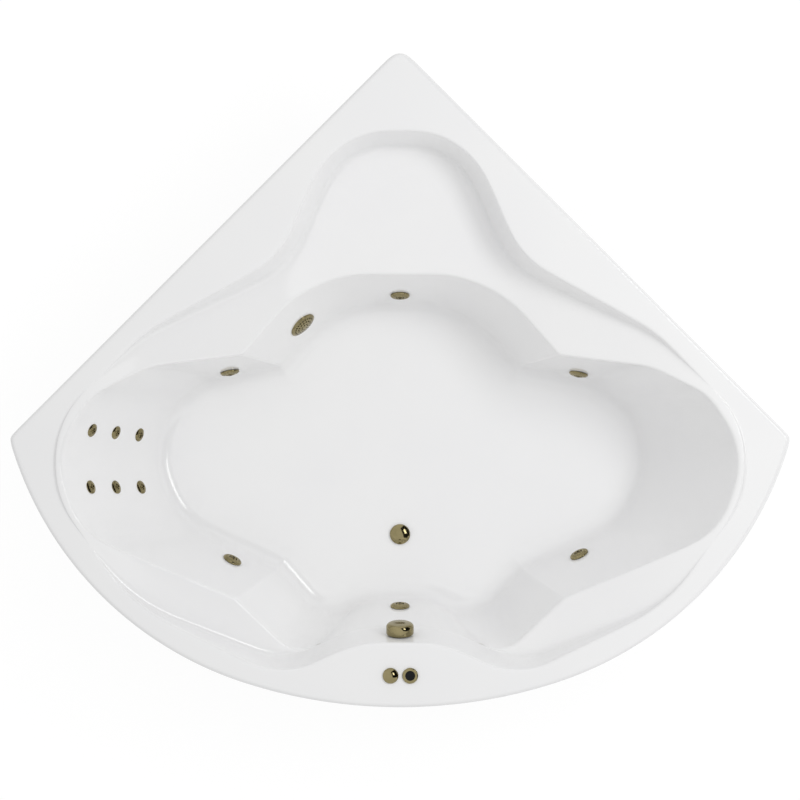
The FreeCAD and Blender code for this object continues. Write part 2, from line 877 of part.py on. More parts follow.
def make_shell():
    holes = [hole_through(frame_placement(frame), mm.jet_hole_radius) for frame in jet_frames.values()]
    holes += [hole_through(frame_placement(frame), mm.back_hole_radius) for frame in back_frames.values()]
    holes += [spot_face(frame_placement(frame), mm.back_face_radius) for frame in back_frames.values()]
    holes.append(hole_through(frame_placement(suction_frame), mm.suction_hole_radius))
    holes.append(spot_face(frame_placement(suction_frame), mm.suction_cover_radius))
    holes.append(hole_through(frame_placement(overflow_frame), mm.overflow_hole_radius))
    holes.append(hole_through(drain_place, mm.drain_hole_radius))
    holes.append(hole_through(air_control_place, mm.control_hole_radius))
    holes.append(hole_through(air_switch_place, mm.control_hole_radius))
    keep(solid_of("bath_shell", shell_shape(holes)), "bath_shell")


# Pipes: straight runs joined by tangent arcs
def bent_path(points, bend):
    edges = []
    last = points[0]
    for before, here, after in zip(points, points[1:], points[2:]):
        back = (before - here).normalize()
        ahead = (after - here).normalize()
        turn = math.pi - back.getAngle(ahead)
        reach = bend * math.tan(turn / 2)
        inward = (back + ahead).normalize()
        middle = here + inward * bend * (1 / math.cos(turn / 2) - 1)
        entry = here + back * reach
        leave = here + ahead * reach
        edges.append(Part.LineSegment(last, entry).toShape())
        edges.append(Part.Arc(entry, middle, leave).toShape())
        last = leave
    edges.append(Part.LineSegment(last, points[-1]).toShape())
    return edges


def swept(edges, radius):
    start = edges[0].Vertexes[0].Point
    tangent = edges[0].tangentAt(edges[0].FirstParameter)
    section = Part.Wire(Part.Circle(start, tangent, radius).toShape())
    return Part.Wire(edges).makePipeShell([section], True, False)


def hose(edges, radius, wall):
    return swept(edges, radius).cut(swept(edges, radius - wall))


def capped_hose(edges, radius, wall):
    """A pipe with a closed far end."""
    end = edges[-1].Vertexes[-1].Point
    ahead = edges[-1].tangentAt(edges[-1].LastParameter)
    cap = Part.makeCylinder(radius, wall, end - ahead * wall, ahead)
    return hose(edges, radius, wall).fuse(cap).removeSplitter()


def ring_edges(corners, height, first_point, last_side, last_share):
    """Edges of the ring from a point on the seat run, round the right, to a share of the last run."""
    edges = outline_edges(corners, height)
    order = []
    for index in range(len(edges) - 2, last_side - 1, -1):
        order.append(edges[index])
    path = [Part.LineSegment(first_point, order[0].valueAt(order[0].LastParameter)).toShape()]
    for edge in order[:-1]:
        points = [edge.valueAt(edge.LastParameter), edge.valueAt(edge.FirstParameter)]
        if isinstance(edge.Curve, Part.Line):
            path.append(Part.LineSegment(*points).toShape())
        else:
            middle = edge.valueAt((edge.FirstParameter + edge.LastParameter) / 2)
            path.append(Part.Arc(points[0], middle, points[1]).toShape())
    end = order[-1].valueAt(order[-1].LastParameter)
    far = order[-1].valueAt(order[-1].FirstParameter)
    path.append(Part.LineSegment(end, end + (far - end) * last_share).toShape())
    return path


# Water ring, from the pump's discharge round the right to the left rear jet, and the air ring above it
discharge_end_y = float(pump_y) - mm.discharge_reach


def make_rings():
    first = Vector(-mm.pump_x, discharge_end_y + mm.pipe_socket_depth - mm.seat_gap, ring_z)
    turn = Vector(-mm.pump_x, seat_run_y, ring_z)
    rest = ring_edges(ring_corners, ring_z, turn, LEFT_REAR_SIDE, RING_END_SHARE)
    path = bent_path([first, turn, rest[0].lastVertex().Point], mm.discharge_bend) + rest[1:]
    keep(solid_of("water_ring", capped_hose(path, mm.ring_radius, mm.pipe_wall)), "water_ring")
    water_clearance = solid_of("water_clearance", swept(path, mm.ring_radius + mm.fit_gap))

    air_edges = outline_edges(air_corners, air_z)
    seat_end = edge_point(air_edges[SEAT_SIDE], 1)
    path = ring_edges(air_corners, air_z, seat_end, LEFT_REAR_SIDE, RING_END_SHARE)
    toward = edge_point(air_edges[SEAT_SIDE], 0) - seat_end
    plug = Part.makeCylinder(mm.air_radius, mm.air_wall, seat_end, toward)
    front_y = edge_point(air_edges[FRONT_SIDE], 0).y
    run_z = float(deck_z) - mm.riser_run_drop
    nipple_z = float(deck_z) - mm.control_barrel_length - mm.control_nipple_length
    riser = bent_path([
        Vector(-mm.riser_side, front_y, air_z),
        Vector(-mm.riser_side, front_y, run_z),
        Vector(-mm.riser_side, -float(control_y), run_z),
        Vector(-mm.air_control_x, -float(control_y), (run_z + nipple_z) / 2),
        Vector(-mm.air_control_x, -float(control_y), nipple_z + mm.control_nipple_length - mm.seat_gap),
    ], mm.riser_bend)
    outside = swept(path, mm.air_radius).fuse(swept(riser, mm.riser_radius))
    inside = swept(path, mm.air_radius - mm.air_wall).fuse(swept(riser, mm.riser_radius - mm.air_wall))
    end = path[-1].lastVertex().Point
    ahead = path[-1].tangentAt(path[-1].LastParameter)
    cap = Part.makeCylinder(mm.air_radius, mm.air_wall, end - ahead * mm.air_wall, ahead)
    keep(solid_of("air_ring", outside.cut(inside).fuse([plug, cap]).removeSplitter()), "air_ring")
    air_clearance = solid_of("air_clearance", swept(path, mm.air_radius + mm.fit_gap))
    return water_clearance, air_clearance


# Large jets: gasket, body, lock nut, turning face ring and tilting nozzle
flange_low = dim.seat_gap + dim.gasket_thickness
flange_high = flange_low + dim.jet_flange_thickness
barrel_radius = dim.jet_hole_radius - dim.fit_gap
tail_length = dim.ring_offset - dim.ring_radius / 2


def jet_body(name, frame, water_clearance, air_clearance):
    body = turned("jet_body_" + name, [
        (dim.jet_throat_radius, -tail_length),
        (dim.jet_tail_radius, -tail_length),
        (dim.jet_tail_radius, -dim.jet_barrel_length),
        (barrel_radius, -dim.jet_barrel_length),
        (barrel_radius, flange_low),
        (dim.jet_flange_radius, flange_low),
        (dim.jet_flange_radius, flange_high),
        (dim.jet_bore_radius, flange_high),
        (dim.jet_bore_radius, -dim.jet_bore_depth),
        (dim.jet_throat_radius, -dim.jet_bore_depth),
    ])
    placed(body, frame_placement(frame))
    air_edge = outline_edges(air_corners, air_z)[frame.side]
    start = edge_point(air_edge, 0)
    run = (edge_point(air_edge, 1) - start).normalize()
    air_point = start + run * ((frame.point - start).dot(frame.level) / run.dot(frame.level))
    depth = (frame.point - air_point).dot(frame.normal)
    axis_point = behind(frame, depth)
    outward = (air_point - axis_point).normalize()
    root = (mm.jet_tail_radius + mm.jet_throat_radius) / 2
    stub = cylinder("air_stub_" + name, dim.air_stub_radius, dim.air_rise)
    stub.setExpression("Placement.Base.z", None)
    stub.setExpression("Height", None)
    stub.Height = (air_point - axis_point).Length - root
    placed(stub, tube_placement(axis_point + outward * root, air_point))
    whole = fuse("jet_%s_whole" % name, body, stub)
    return cut("jet_body_" + name, whole, water_clearance, air_clearance)


def lock_nut(name, radius, height, bore, placement):
    nut_low = -(dim.shell_wall + dim.nut_gap + height)
    outer = hexagon("nut_%s_outer" % name, radius, height, nut_low)
    hole = cylinder("nut_%s_hole" % name, bore + dim.fit_gap, height, nut_low)
    return placed(cut("nut_" + name, outer, hole), placement)


def flat_gasket(name, inner, outer, placement):
    ring = turned("gasket_" + name, [
        (inner, dim.seat_gap),
        (outer, dim.seat_gap),
        (outer, flange_low),
        (inner, flange_low),
    ])
    return placed(ring, placement)


def jet_face(name, frame):
    body = turned("jet_face_%s_turned" % name, [
        (dim.jet_mouth_radius, -dim.jet_sleeve_depth),
        (dim.jet_bore_radius - dim.fit_gap, -dim.jet_sleeve_depth),
        (dim.jet_bore_radius - dim.fit_gap, flange_high + dim.fit_gap),
        (dim.jet_flange_radius + dim.fit_gap, flange_high + dim.fit_gap),
        (dim.jet_flange_radius + dim.fit_gap, dim.face_stand),
        (dim.jet_face_radius, dim.face_stand),
        (dim.jet_face_radius, dim.jet_face_edge, dim.jet_face_crown),
        (dim.jet_face_flat_radius, dim.jet_face_height),
        (dim.jet_mouth_radius, dim.jet_face_height),
    ])
    socket = sphere("jet_face_%s_socket" % name, dim.jet_ball_radius + dim.seat_gap, -dim.jet_ball_drop)
    keep(placed(cut("jet_face_" + name, body, socket), frame_placement(frame)), "jet_face_" + name)


def nozzle(label, ball_radius, ball_drop, spout_radius, spout_height, bore, frame):
    ball = sphere(label + "_ball", ball_radius, -ball_drop)
    spout = cylinder(label + "_spout", spout_radius, spout_height + ball_drop, -ball_drop)
    hole = cylinder(label + "_bore", bore, ball_radius * 2 + spout_height, -(ball_radius + ball_drop))
    whole = fuse(label + "_whole", ball, spout)
    keep(placed(cut(label, whole, hole), frame_placement(frame)), label)


def make_jets(water_clearance, air_clearance):
    bodies, gaskets, nuts = [], [], []
    for name, frame in jet_frames.items():
        place = frame_placement(frame)
        bodies.append(jet_body(name, frame, water_clearance, air_clearance))
        label = "jet_" + name
        gaskets.append(flat_gasket(label, barrel_radius + dim.fit_gap, dim.jet_flange_radius, place))
        nuts.append(lock_nut(label, dim.jet_nut_radius, dim.jet_nut_height, barrel_radius, place))
        jet_face(name, frame)
        nozzle("jet_nozzle_" + name, dim.jet_ball_radius, dim.jet_ball_drop, dim.jet_spout_radius,
               dim.jet_spout_height, dim.jet_spout_bore, frame)
    group("jet_bodies", bodies)
    group("jet_gaskets", gaskets)
    group("jet_nuts", nuts)


# Back jets: small fixed faces with tilting nozzles, fed by the ring and two branch pipes
collar_high = -(dim.shell_wall + dim.nut_gap)


def back_body(name, frame, lean_share, clearances):
    barrel = dim.back_hole_radius - dim.fit_gap
    tail_low = -(tail_length + dim.branch_lean * lean_share)
    collar_low = collar_high - dim.back_collar_height
    body = turned("back_body_" + name, [
        (dim.back_throat_radius, tail_low),
        (dim.back_tail_radius, tail_low),
        (dim.back_tail_radius, -dim.back_barrel_length),
        (barrel, -dim.back_barrel_length),
        (barrel, collar_low),
        (dim.back_collar_radius, collar_low),
        (dim.back_collar_radius, collar_high),
        (barrel, collar_high),
        (barrel, -dim.seat_gap),
        (dim.back_bore_radius, -dim.seat_gap),
        (dim.back_bore_radius, -(dim.back_barrel_length - dim.back_collar_height)),
        (dim.back_throat_radius, -(dim.back_barrel_length - dim.back_collar_height)),
    ])
    return cut("back_body_" + name, placed(body, frame_placement(frame)), *clearances)


def back_face(name, frame):
    sleeve = dim.back_bore_radius - dim.fit_gap
    body = turned("back_face_%s_turned" % name, [
        (dim.back_mouth_radius, -dim.back_sleeve_depth),
        (sleeve, -dim.back_sleeve_depth),
        (sleeve, dim.seat_gap),
        (dim.back_face_radius, dim.seat_gap),
        (dim.back_face_radius, dim.back_face_edge, dim.back_face_crown),
        (dim.back_face_flat_radius, dim.back_face_height),
        (dim.back_mouth_radius, dim.back_face_height),
    ])
    socket = sphere("back_face_%s_socket" % name, dim.back_ball_radius + dim.seat_gap, -dim.back_ball_drop)
    return placed(cut("back_face_" + name, body, socket), frame_placement(frame))


def run_clearances(side):
    """The room that the water ring takes along one straight run and the bend at each of its ends."""
    edges = outline_edges(ring_corners, ring_z)[side - 1:side + 2]
    rooms = [swept([edge], mm.ring_radius + mm.fit_gap) for edge in edges]
    return [solid_of("ring_clearance_%d" % step, room) for step, room in enumerate(rooms)]


def branch_pipe(column, ring_clearances):
    start = ring_point(*BACK_JET_SHARES[column])
    first = back_frames[column + "_1"]
    last = back_frames["%s_%d" % (column, BACK_JETS_IN_COLUMN)]
    top = behind(last, (first.point - start).Length + mm.branch_lean)
    top = top + (top - start).normalize() * mm.branch_overhang
    path = [Part.LineSegment(start, top).toShape()]
    pipe = solid_of("branch_%s_pipe" % column, capped_hose(path, mm.branch_radius, mm.pipe_wall))
    clearance = solid_of("branch_%s_clearance" % column, swept(path, mm.branch_radius + mm.fit_gap))
    return cut("branch_" + column, pipe, *ring_clearances), clearance


def make_back_jets():
    ring_clearances = run_clearances(BACK_SIDE)
    branches, bodies, faces = [], [], []
    for column in BACK_JET_SHARES:
        branch, branch_clearance = branch_pipe(column, ring_clearances)
        branches.append(branch)
        for step in range(BACK_JETS_IN_COLUMN):
            name = "%s_%d" % (column, step + 1)
            frame = back_frames[name]
            clearances = [branch_clearance] if step else ring_clearances + [branch_clearance]
            lean_share = step / (BACK_JETS_IN_COLUMN - 1)
            bodies.append(back_body(name, frame, lean_share, clearances))
            faces.append(back_face(name, frame))
            nozzle("back_nozzle_" + name, dim.back_ball_radius, dim.back_ball_drop, dim.back_spout_radius,
                   dim.back_spout_height, dim.back_spout_bore, frame)
    group("back_jet_branches", branches)
    group("back_jet_bodies", bodies)
    group("back_jet_faces", faces)


# Suction grille, its body and the pipe to the pump
def make_suction():
    place = frame_placement(suction_frame)
    wall = dim.suction_cover_wall
    dome = dome_radius(dim.suction_cover_radius, dim.suction_cover_height - dim.suction_cover_edge)
    cover = turned("suction_cover_turned", [
        (dim.suction_cover_radius - wall, dim.seat_gap),
        (dim.suction_cover_radius, dim.seat_gap),
        (dim.suction_cover_radius, dim.suction_cover_edge, dome),
        (0, dim.suction_cover_height),
        (0, dim.suction_cover_height - wall),
        (dim.suction_cover_radius - wall, dim.suction_cover_edge),
    ])
    holes = []
    for count, share in GRILLE_RINGS:
        for step in range(count):
            turn = 2 * math.pi * step / count
            reach = mm.suction_cover_radius * share
            spot = Vector(reach * math.cos(turn), reach * math.sin(turn), 0)
            holes.append(Part.makeCylinder(mm.grille_hole_radius, mm.suction_cover_height, spot))
    grille = cut("suction_cover", cover, solid_of("grille_holes", Part.makeCompound(holes)))
    keep(placed(grille, place), "suction_cover")

    barrel = dim.suction_hole_radius - dim.fit_gap
    socket = dim.ring_radius + dim.fit_gap
    high = flange_low + dim.suction_flange_thickness
    step_z = -(dim.suction_body_length - dim.pipe_socket_depth)
    body = turned("suction_body", [
        (socket, -dim.suction_body_length),
        (barrel, -dim.suction_body_length),
        (barrel, flange_low),
        (dim.suction_flange_radius, flange_low),
        (dim.suction_flange_radius, high),
        (dim.suction_bore_radius, high),
        (dim.suction_bore_radius, step_z),
        (socket, step_z),
    ])
    keep(placed(body, place), "suction_body")

    inlet_x = -(mm.pump_x + mm.volute_half_width + mm.nozzle_length)
    path = bent_path([
        behind(suction_frame, mm.suction_body_length - mm.pipe_socket_depth + mm.seat_gap),
        behind(suction_frame, mm.suction_lead),
        Vector(-mm.pump_x - mm.suction_turn_reach, float(pump_y), pump_axis_z),
        Vector(inlet_x + mm.pipe_socket_depth - mm.seat_gap, float(pump_y), pump_axis_z),
    ], mm.ring_bend)
    keep(solid_of("suction_pipe", hose(path, mm.ring_radius, mm.pipe_wall)), "suction_pipe")


# Pump: turned pieces along X, with the volute's middle at the origin of their axis
pump_turn = Rotation(Vector(0, 0, 1), Vector(1, 0, 0))
pump_place = Placement(Vector(-mm.pump_x, float(pump_y), pump_axis_z), pump_turn)
motor_start = dim.volute_half_width
motor_end = motor_start + dim.motor_length


def make_pump():
    socket = dim.ring_radius + dim.fit_gap
    low = -(dim.volute_half_width + dim.nozzle_length)
    case = placed(turned("volute_case", [
        (socket, low),
        (dim.nozzle_radius, low),
        (dim.nozzle_radius, -dim.volute_half_width),
        (dim.volute_radius, -dim.volute_half_width),
        (dim.volute_radius, dim.volute_half_width),
        (dim.shaft_radius + dim.fit_gap, dim.volute_half_width),
        (dim.shaft_radius + dim.fit_gap, dim.volute_half_width - dim.volute_wall),
        (dim.volute_radius - dim.volute_wall, dim.volute_half_width - dim.volute_wall),
        (dim.volute_radius - dim.volute_wall, -(dim.volute_half_width - dim.volute_wall)),
        (dim.impeller_throat_radius, -(dim.volute_half_width - dim.volute_wall)),
        (dim.impeller_throat_radius, low + dim.pipe_socket_depth),
        (socket, low + dim.pipe_socket_depth),
    ]), pump_place)
    mouth = Vector(-mm.pump_x, discharge_end_y, ring_z)
    root = Vector(-mm.pump_x, float(pump_y), ring_z)
    spout = Part.makeCylinder(mm.nozzle_radius, mm.discharge_reach, mouth, root - mouth)
    chamber = Part.makeCylinder(mm.volute_radius - mm.volute_wall / 2, mm.volute_half_width * 2)
    chamber.Placement = pump_place.multiply(Placement(Vector(0, 0, -mm.volute_half_width), Rotation()))
    bore = Part.makeCylinder(mm.impeller_throat_radius, mm.discharge_reach, mouth, root - mouth)
    seat = Part.makeCylinder(float(socket), mm.pipe_socket_depth, mouth, root - mouth)
    whole = fuse("volute_whole", case, solid_of("discharge_spout", spout.cut(chamber)))
    way = solid_of("discharge_way", bore.fuse(seat))
    keep(cut("pump_volute", whole, way), "pump_volute")

    core_low = motor_start + dim.core_start
    core_high = core_low + dim.core_length
    fan_low = motor_end + dim.fan_start
    fan_high = fan_low + dim.fan_width
    rotor = turned("pump_rotor", [
        (0, -dim.impeller_width),
        (dim.impeller_radius, -dim.impeller_width),
        (dim.impeller_radius, 0),
        (dim.shaft_radius, 0),
        (dim.shaft_radius, core_low),
        (dim.core_radius, core_low),
        (dim.core_radius, core_high),
        (dim.shaft_radius, core_high),
        (dim.shaft_radius, fan_low),
        (dim.fan_radius, fan_low),
        (dim.fan_radius, fan_high),
        (0, fan_high),
    ])
    keep(placed(rotor, pump_place), "pump_rotor")

    bearing = dim.shaft_radius + dim.running_gap
    housing = turned("motor_housing", [
        (bearing, motor_start),
        (dim.motor_radius, motor_start),
        (dim.motor_radius, motor_end),
        (bearing, motor_end),
        (bearing, motor_end - dim.motor_end_wall),
        (dim.motor_bore_radius, motor_end - dim.motor_end_wall),
        (dim.motor_bore_radius, motor_start + dim.motor_end_wall),
        (bearing, motor_start + dim.motor_end_wall),
    ])
    keep(placed(housing, pump_place), "motor_housing")

    cover_end = motor_end + dim.fan_cover_length
    inner = dim.fan_cover_radius - dim.fan_cover_wall
    cover = turned("motor_fan_cover", [
        (inner, motor_end),
        (dim.fan_cover_radius, motor_end),
        (dim.fan_cover_radius, cover_end),
        (dim.fan_mouth_radius, cover_end),
        (dim.fan_mouth_radius, cover_end - dim.fan_cover_wall),
        (inner, cover_end - dim.fan_cover_wall),
    ])
    keep(placed(cover, pump_place), "motor_fan_cover")

    nuts = []
    inlet = pump_place.multiply(Placement(Vector(0, 0, float(low)), Rotation()))
    for name, place in (("inlet", inlet), ("discharge", tube_placement(mouth, root))):
        outer = hexagon("union_%s_outer" % name, dim.union_nut_radius, dim.union_nut_length, 0)
        hole = cylinder("union_%s_hole" % name, dim.nozzle_radius + dim.fit_gap, dim.union_nut_length)
        nuts.append(placed(cut("union_" + name, outer, hole), place))
    group("union_nuts", nuts)


def make_pump_base():
    high = board_low + dim.base_thickness
    half_long = dim.base_length / 2
    half_wide = dim.base_width / 2
    pieces = [block("base_plate", (-half_long, pump_y - half_wide, board_low),
                    (half_long, pump_y + half_wide, high))]
    motor_x = -dim.pump_x + motor_start
    saddle_top = floor_z + dim.ring_height + dim.discharge_drop - dim.saddle_top_drop
    spots = (motor_x + dim.saddle_inset, motor_x + dim.motor_length - dim.saddle_inset - dim.saddle_length)
    for step, left in enumerate(spots):
        pieces.append(block("base_saddle_%d" % step, (left, pump_y - dim.saddle_width / 2, high),
                            (left + dim.saddle_length, pump_y + dim.saddle_width / 2, saddle_top)))
    space = placed(turned("motor_space", [
        (0, 0),
        (dim.motor_radius + dim.seat_gap, 0),
        (dim.motor_radius + dim.seat_gap, motor_end),
        (0, motor_end),
    ]), pump_place)
    keep(cut("pump_base", fuse("base_whole", *pieces), space), "pump_base")

    axis_z = floor_z + dim.ring_height + dim.discharge_drop
    left = motor_x + dim.motor_length - dim.box_length
    right = left + dim.box_length
    case = block("control_case", (left, pump_y - dim.box_width / 2, axis_z + dim.box_low_rise),
                 (right, pump_y + dim.box_width / 2, axis_z + dim.box_high_rise))
    gland_z = float(axis_z) + (mm.motor_radius + mm.box_high_rise) / 2
    gland_root = Vector(float(right) - mm.gland_length, float(pump_y), gland_z)
    gland_tip = Vector(float(right) + mm.gland_length, float(pump_y), gland_z)
    gland = Part.makeCylinder(mm.gland_radius, mm.gland_length * 2, gland_root, gland_tip - gland_root)
    bore = Part.makeCylinder(mm.gland_bore_radius, mm.gland_length * 2, gland_root, gland_tip - gland_root)
    whole = fuse("control_whole", case, solid_of("cable_gland", gland))
    keep(cut("control_box", whole, space, solid_of("gland_bore", bore)), "control_box")


# Waste, stopper, overflow and the cable between them
waste_axis_z = float(shell_low) - mm.waste_pipe_drop
overflow_pipe_point = behind(overflow_frame, mm.overflow_pipe_reach)


def make_waste():
    flange_top = dim.seat_gap + dim.drain_flange_thickness
    barrel = dim.drain_hole_radius - dim.fit_gap
    flange = turned("drain_flange_turned", [
        (dim.drain_bore_radius, -dim.drain_barrel_depth),
        (barrel, -dim.drain_barrel_depth),
        (barrel, dim.seat_gap),
        (dim.drain_flange_radius, dim.seat_gap),
        (dim.drain_flange_radius, flange_top),
        (dim.drain_bore_radius, flange_top),
    ])
    reach = dim.drain_bore_radius + dim.seat_gap
    half_bar = dim.guide_bar_width / 2
    bar_low = -dim.drain_barrel_depth
    bar_high = bar_low + dim.guide_height
    long_bar = block("guide_bar_x", (-reach, -half_bar, bar_low), (reach, half_bar, bar_high))
    cross_bar = block("guide_bar_y", (-half_bar, -reach, bar_low), (half_bar, reach, bar_high))
    hub = cylinder("guide_hub", dim.guide_hub_radius, dim.guide_height, bar_low)
    stem_hole = cylinder("guide_hole", dim.stem_radius + dim.running_gap, dim.guide_height, bar_low)
    whole = fuse("drain_whole", flange, long_bar, cross_bar, hub)
    keep(placed(cut("drain_flange", whole, stem_hole), drain_place), "drain_flange")

    low = flange_top + dim.fit_gap
    dome = dome_radius(dim.stopper_radius, dim.stopper_height - dim.stopper_edge)
    stopper = turned("drain_stopper", [
        (0, low - dim.stem_length),
        (dim.stem_radius, low - dim.stem_length),
        (dim.stem_radius, low),
        (dim.stopper_radius, low),
        (dim.stopper_radius, low + dim.stopper_edge, dome),
        (0, low + dim.stopper_height),
    ])
    keep(placed(stopper, drain_place), "drain_stopper")

    top = -(dim.shell_wall + dim.gasket_thickness)
    foot = -(dim.shell_wall + dim.waste_foot_drop)
    end = dim.waste_outlet_low - floor_z
    inner = dim.waste_radius - dim.waste_wall
    case = placed(turned("waste_case", [
        (dim.waste_outlet_radius - dim.waste_wall, end),
        (dim.waste_outlet_radius, end),
        (dim.waste_outlet_radius, foot),
        (dim.waste_radius, foot),
        (dim.waste_radius, top),
        (inner, top),
        (inner, foot + dim.waste_wall),
        (dim.waste_outlet_radius - dim.waste_wall, foot + dim.waste_wall),
    ]), drain_place)
    axis = Vector(0, -float(drain_y), waste_axis_z)
    mouth = axis - Vector(0, mm.waste_radius + mm.pipe_socket_depth, 0)
    arm_length = mm.waste_radius + mm.pipe_socket_depth
    socket = mm.overflow_pipe_radius + mm.fit_gap
    arm = Part.makeCylinder(socket + mm.waste_wall, arm_length, mouth, axis - mouth)
    well_low = Vector(0, -float(drain_y), float(shell_low) - mm.waste_foot_drop)
    well = Part.makeCylinder(float(inner), mm.waste_foot_drop, well_low)
    way = Part.makeCylinder(socket - mm.pipe_wall, arm_length, mouth, axis - mouth)
    seat = Part.makeCylinder(socket, mm.pipe_socket_depth, mouth, axis - mouth)
    whole = fuse("waste_whole", case, solid_of("waste_arm", arm.cut(well)))
    keep(cut("waste_body", whole, solid_of("waste_way", way), solid_of("waste_seat", seat)), "waste_body")


def make_overflow():
    place = frame_placement(overflow_frame)
    neck = dim.overflow_hole_radius - dim.fit_gap
    case_top = -(dim.shell_wall + dim.nut_gap + dim.gasket_thickness)
    spigot = dim.overflow_spigot_radius
    case = placed(turned("overflow_case", [
        (0, -dim.overflow_case_length),
        (dim.overflow_case_radius, -dim.overflow_case_length),
        (dim.overflow_case_radius, case_top),
        (neck, case_top),
        (neck, -dim.seat_gap),
        (spigot, -dim.seat_gap),
        (spigot, dim.overflow_spigot_reach),
        (0, dim.overflow_spigot_reach),
    ]), place)
    socket = mm.overflow_pipe_radius + mm.fit_gap
    top = overflow_pipe_point
    drop = Vector(0, 0, -mm.overflow_socket_drop)
    leg = Part.makeCylinder(socket + mm.waste_wall, mm.overflow_socket_drop, top, drop)
    seat_start = top + drop * (mm.pipe_socket_depth / mm.overflow_socket_drop)
    seat = Part.makeCylinder(socket, mm.overflow_socket_drop, seat_start, drop)
    way = Part.makeCylinder(socket - mm.pipe_wall, mm.overflow_socket_drop, top, drop)
    whole = fuse("overflow_whole", case, solid_of("overflow_leg", leg))
    keep(cut("overflow_body", whole, solid_of("overflow_seat", seat), solid_of("overflow_way", way)),
         "overflow_body")

    path = bent_path([
        seat_start - Vector(0, 0, mm.seat_gap),
        Vector(top.x, top.y, waste_axis_z),
        Vector(0, -float(drain_y) - mm.waste_radius - mm.seat_gap, waste_axis_z),
    ], mm.overflow_pipe_bend)
    keep(solid_of("overflow_pipe", hose(path, mm.overflow_pipe_radius, mm.pipe_wall)), "overflow_pipe")

    stand = dim.knob_stand
    depth = stand + dim.knob_depth
    inner = dim.knob_radius - dim.knob_wall
    hub = spigot + dim.running_gap
    knob = turned("overflow_knob", [
        (inner, stand),
        (dim.knob_radius, stand),
        (dim.knob_radius, depth - dim.knob_edge_round, dim.knob_edge_round),
        (dim.knob_radius - dim.knob_edge_round, depth),
        (0, depth),
        (0, depth - dim.knob_wall),
        (hub, depth - dim.knob_wall),
        (hub, stand + dim.knob_wall),
        (hub + dim.knob_wall, stand + dim.knob_wall),
        (hub + dim.knob_wall, depth - dim.knob_wall),
        (inner, depth - dim.knob_wall),
    ])
    keep(placed(knob, place), "overflow_knob")

    side = behind(overflow_frame, mm.overflow_case_length - mm.overflow_case_radius / 2)
    level_z = waste_axis_z + mm.overflow_pipe_radius
    cable = bent_path([
        Vector(mm.overflow_case_radius + mm.seat_gap, side.y, side.z),
        Vector(mm.cable_side, side.y, side.z),
        Vector(mm.cable_side, side.y, level_z),
        Vector(mm.cable_side, -float(drain_y), level_z),
        Vector(mm.waste_radius + mm.seat_gap, -float(drain_y), level_z),
    ], mm.cable_bend)
    keep(solid_of("stopper_cable", swept(cable, mm.cable_radius)), "stopper_cable")


def make_fitting_gaskets():
    thick = dim.gasket_thickness
    drain_low = -(dim.shell_wall + thick)
    drain = placed(turned("gasket_drain", [
        (dim.drain_hole_radius, drain_low),
        (dim.waste_radius, drain_low),
        (dim.waste_radius, -dim.shell_wall),
        (dim.drain_hole_radius, -dim.shell_wall),
    ]), drain_place)
    low = -(dim.shell_wall + dim.nut_gap + thick)
    overflow = placed(turned("gasket_overflow", [
        (dim.overflow_hole_radius, low),
        (dim.overflow_case_radius, low),
        (dim.overflow_case_radius, low + thick),
        (dim.overflow_hole_radius, low + thick),
    ]), frame_placement(overflow_frame))
    suction = flat_gasket("suction", dim.suction_hole_radius, dim.suction_flange_radius,
                          frame_placement(suction_frame))
    group("fitting_gaskets", [drain, overflow, suction])


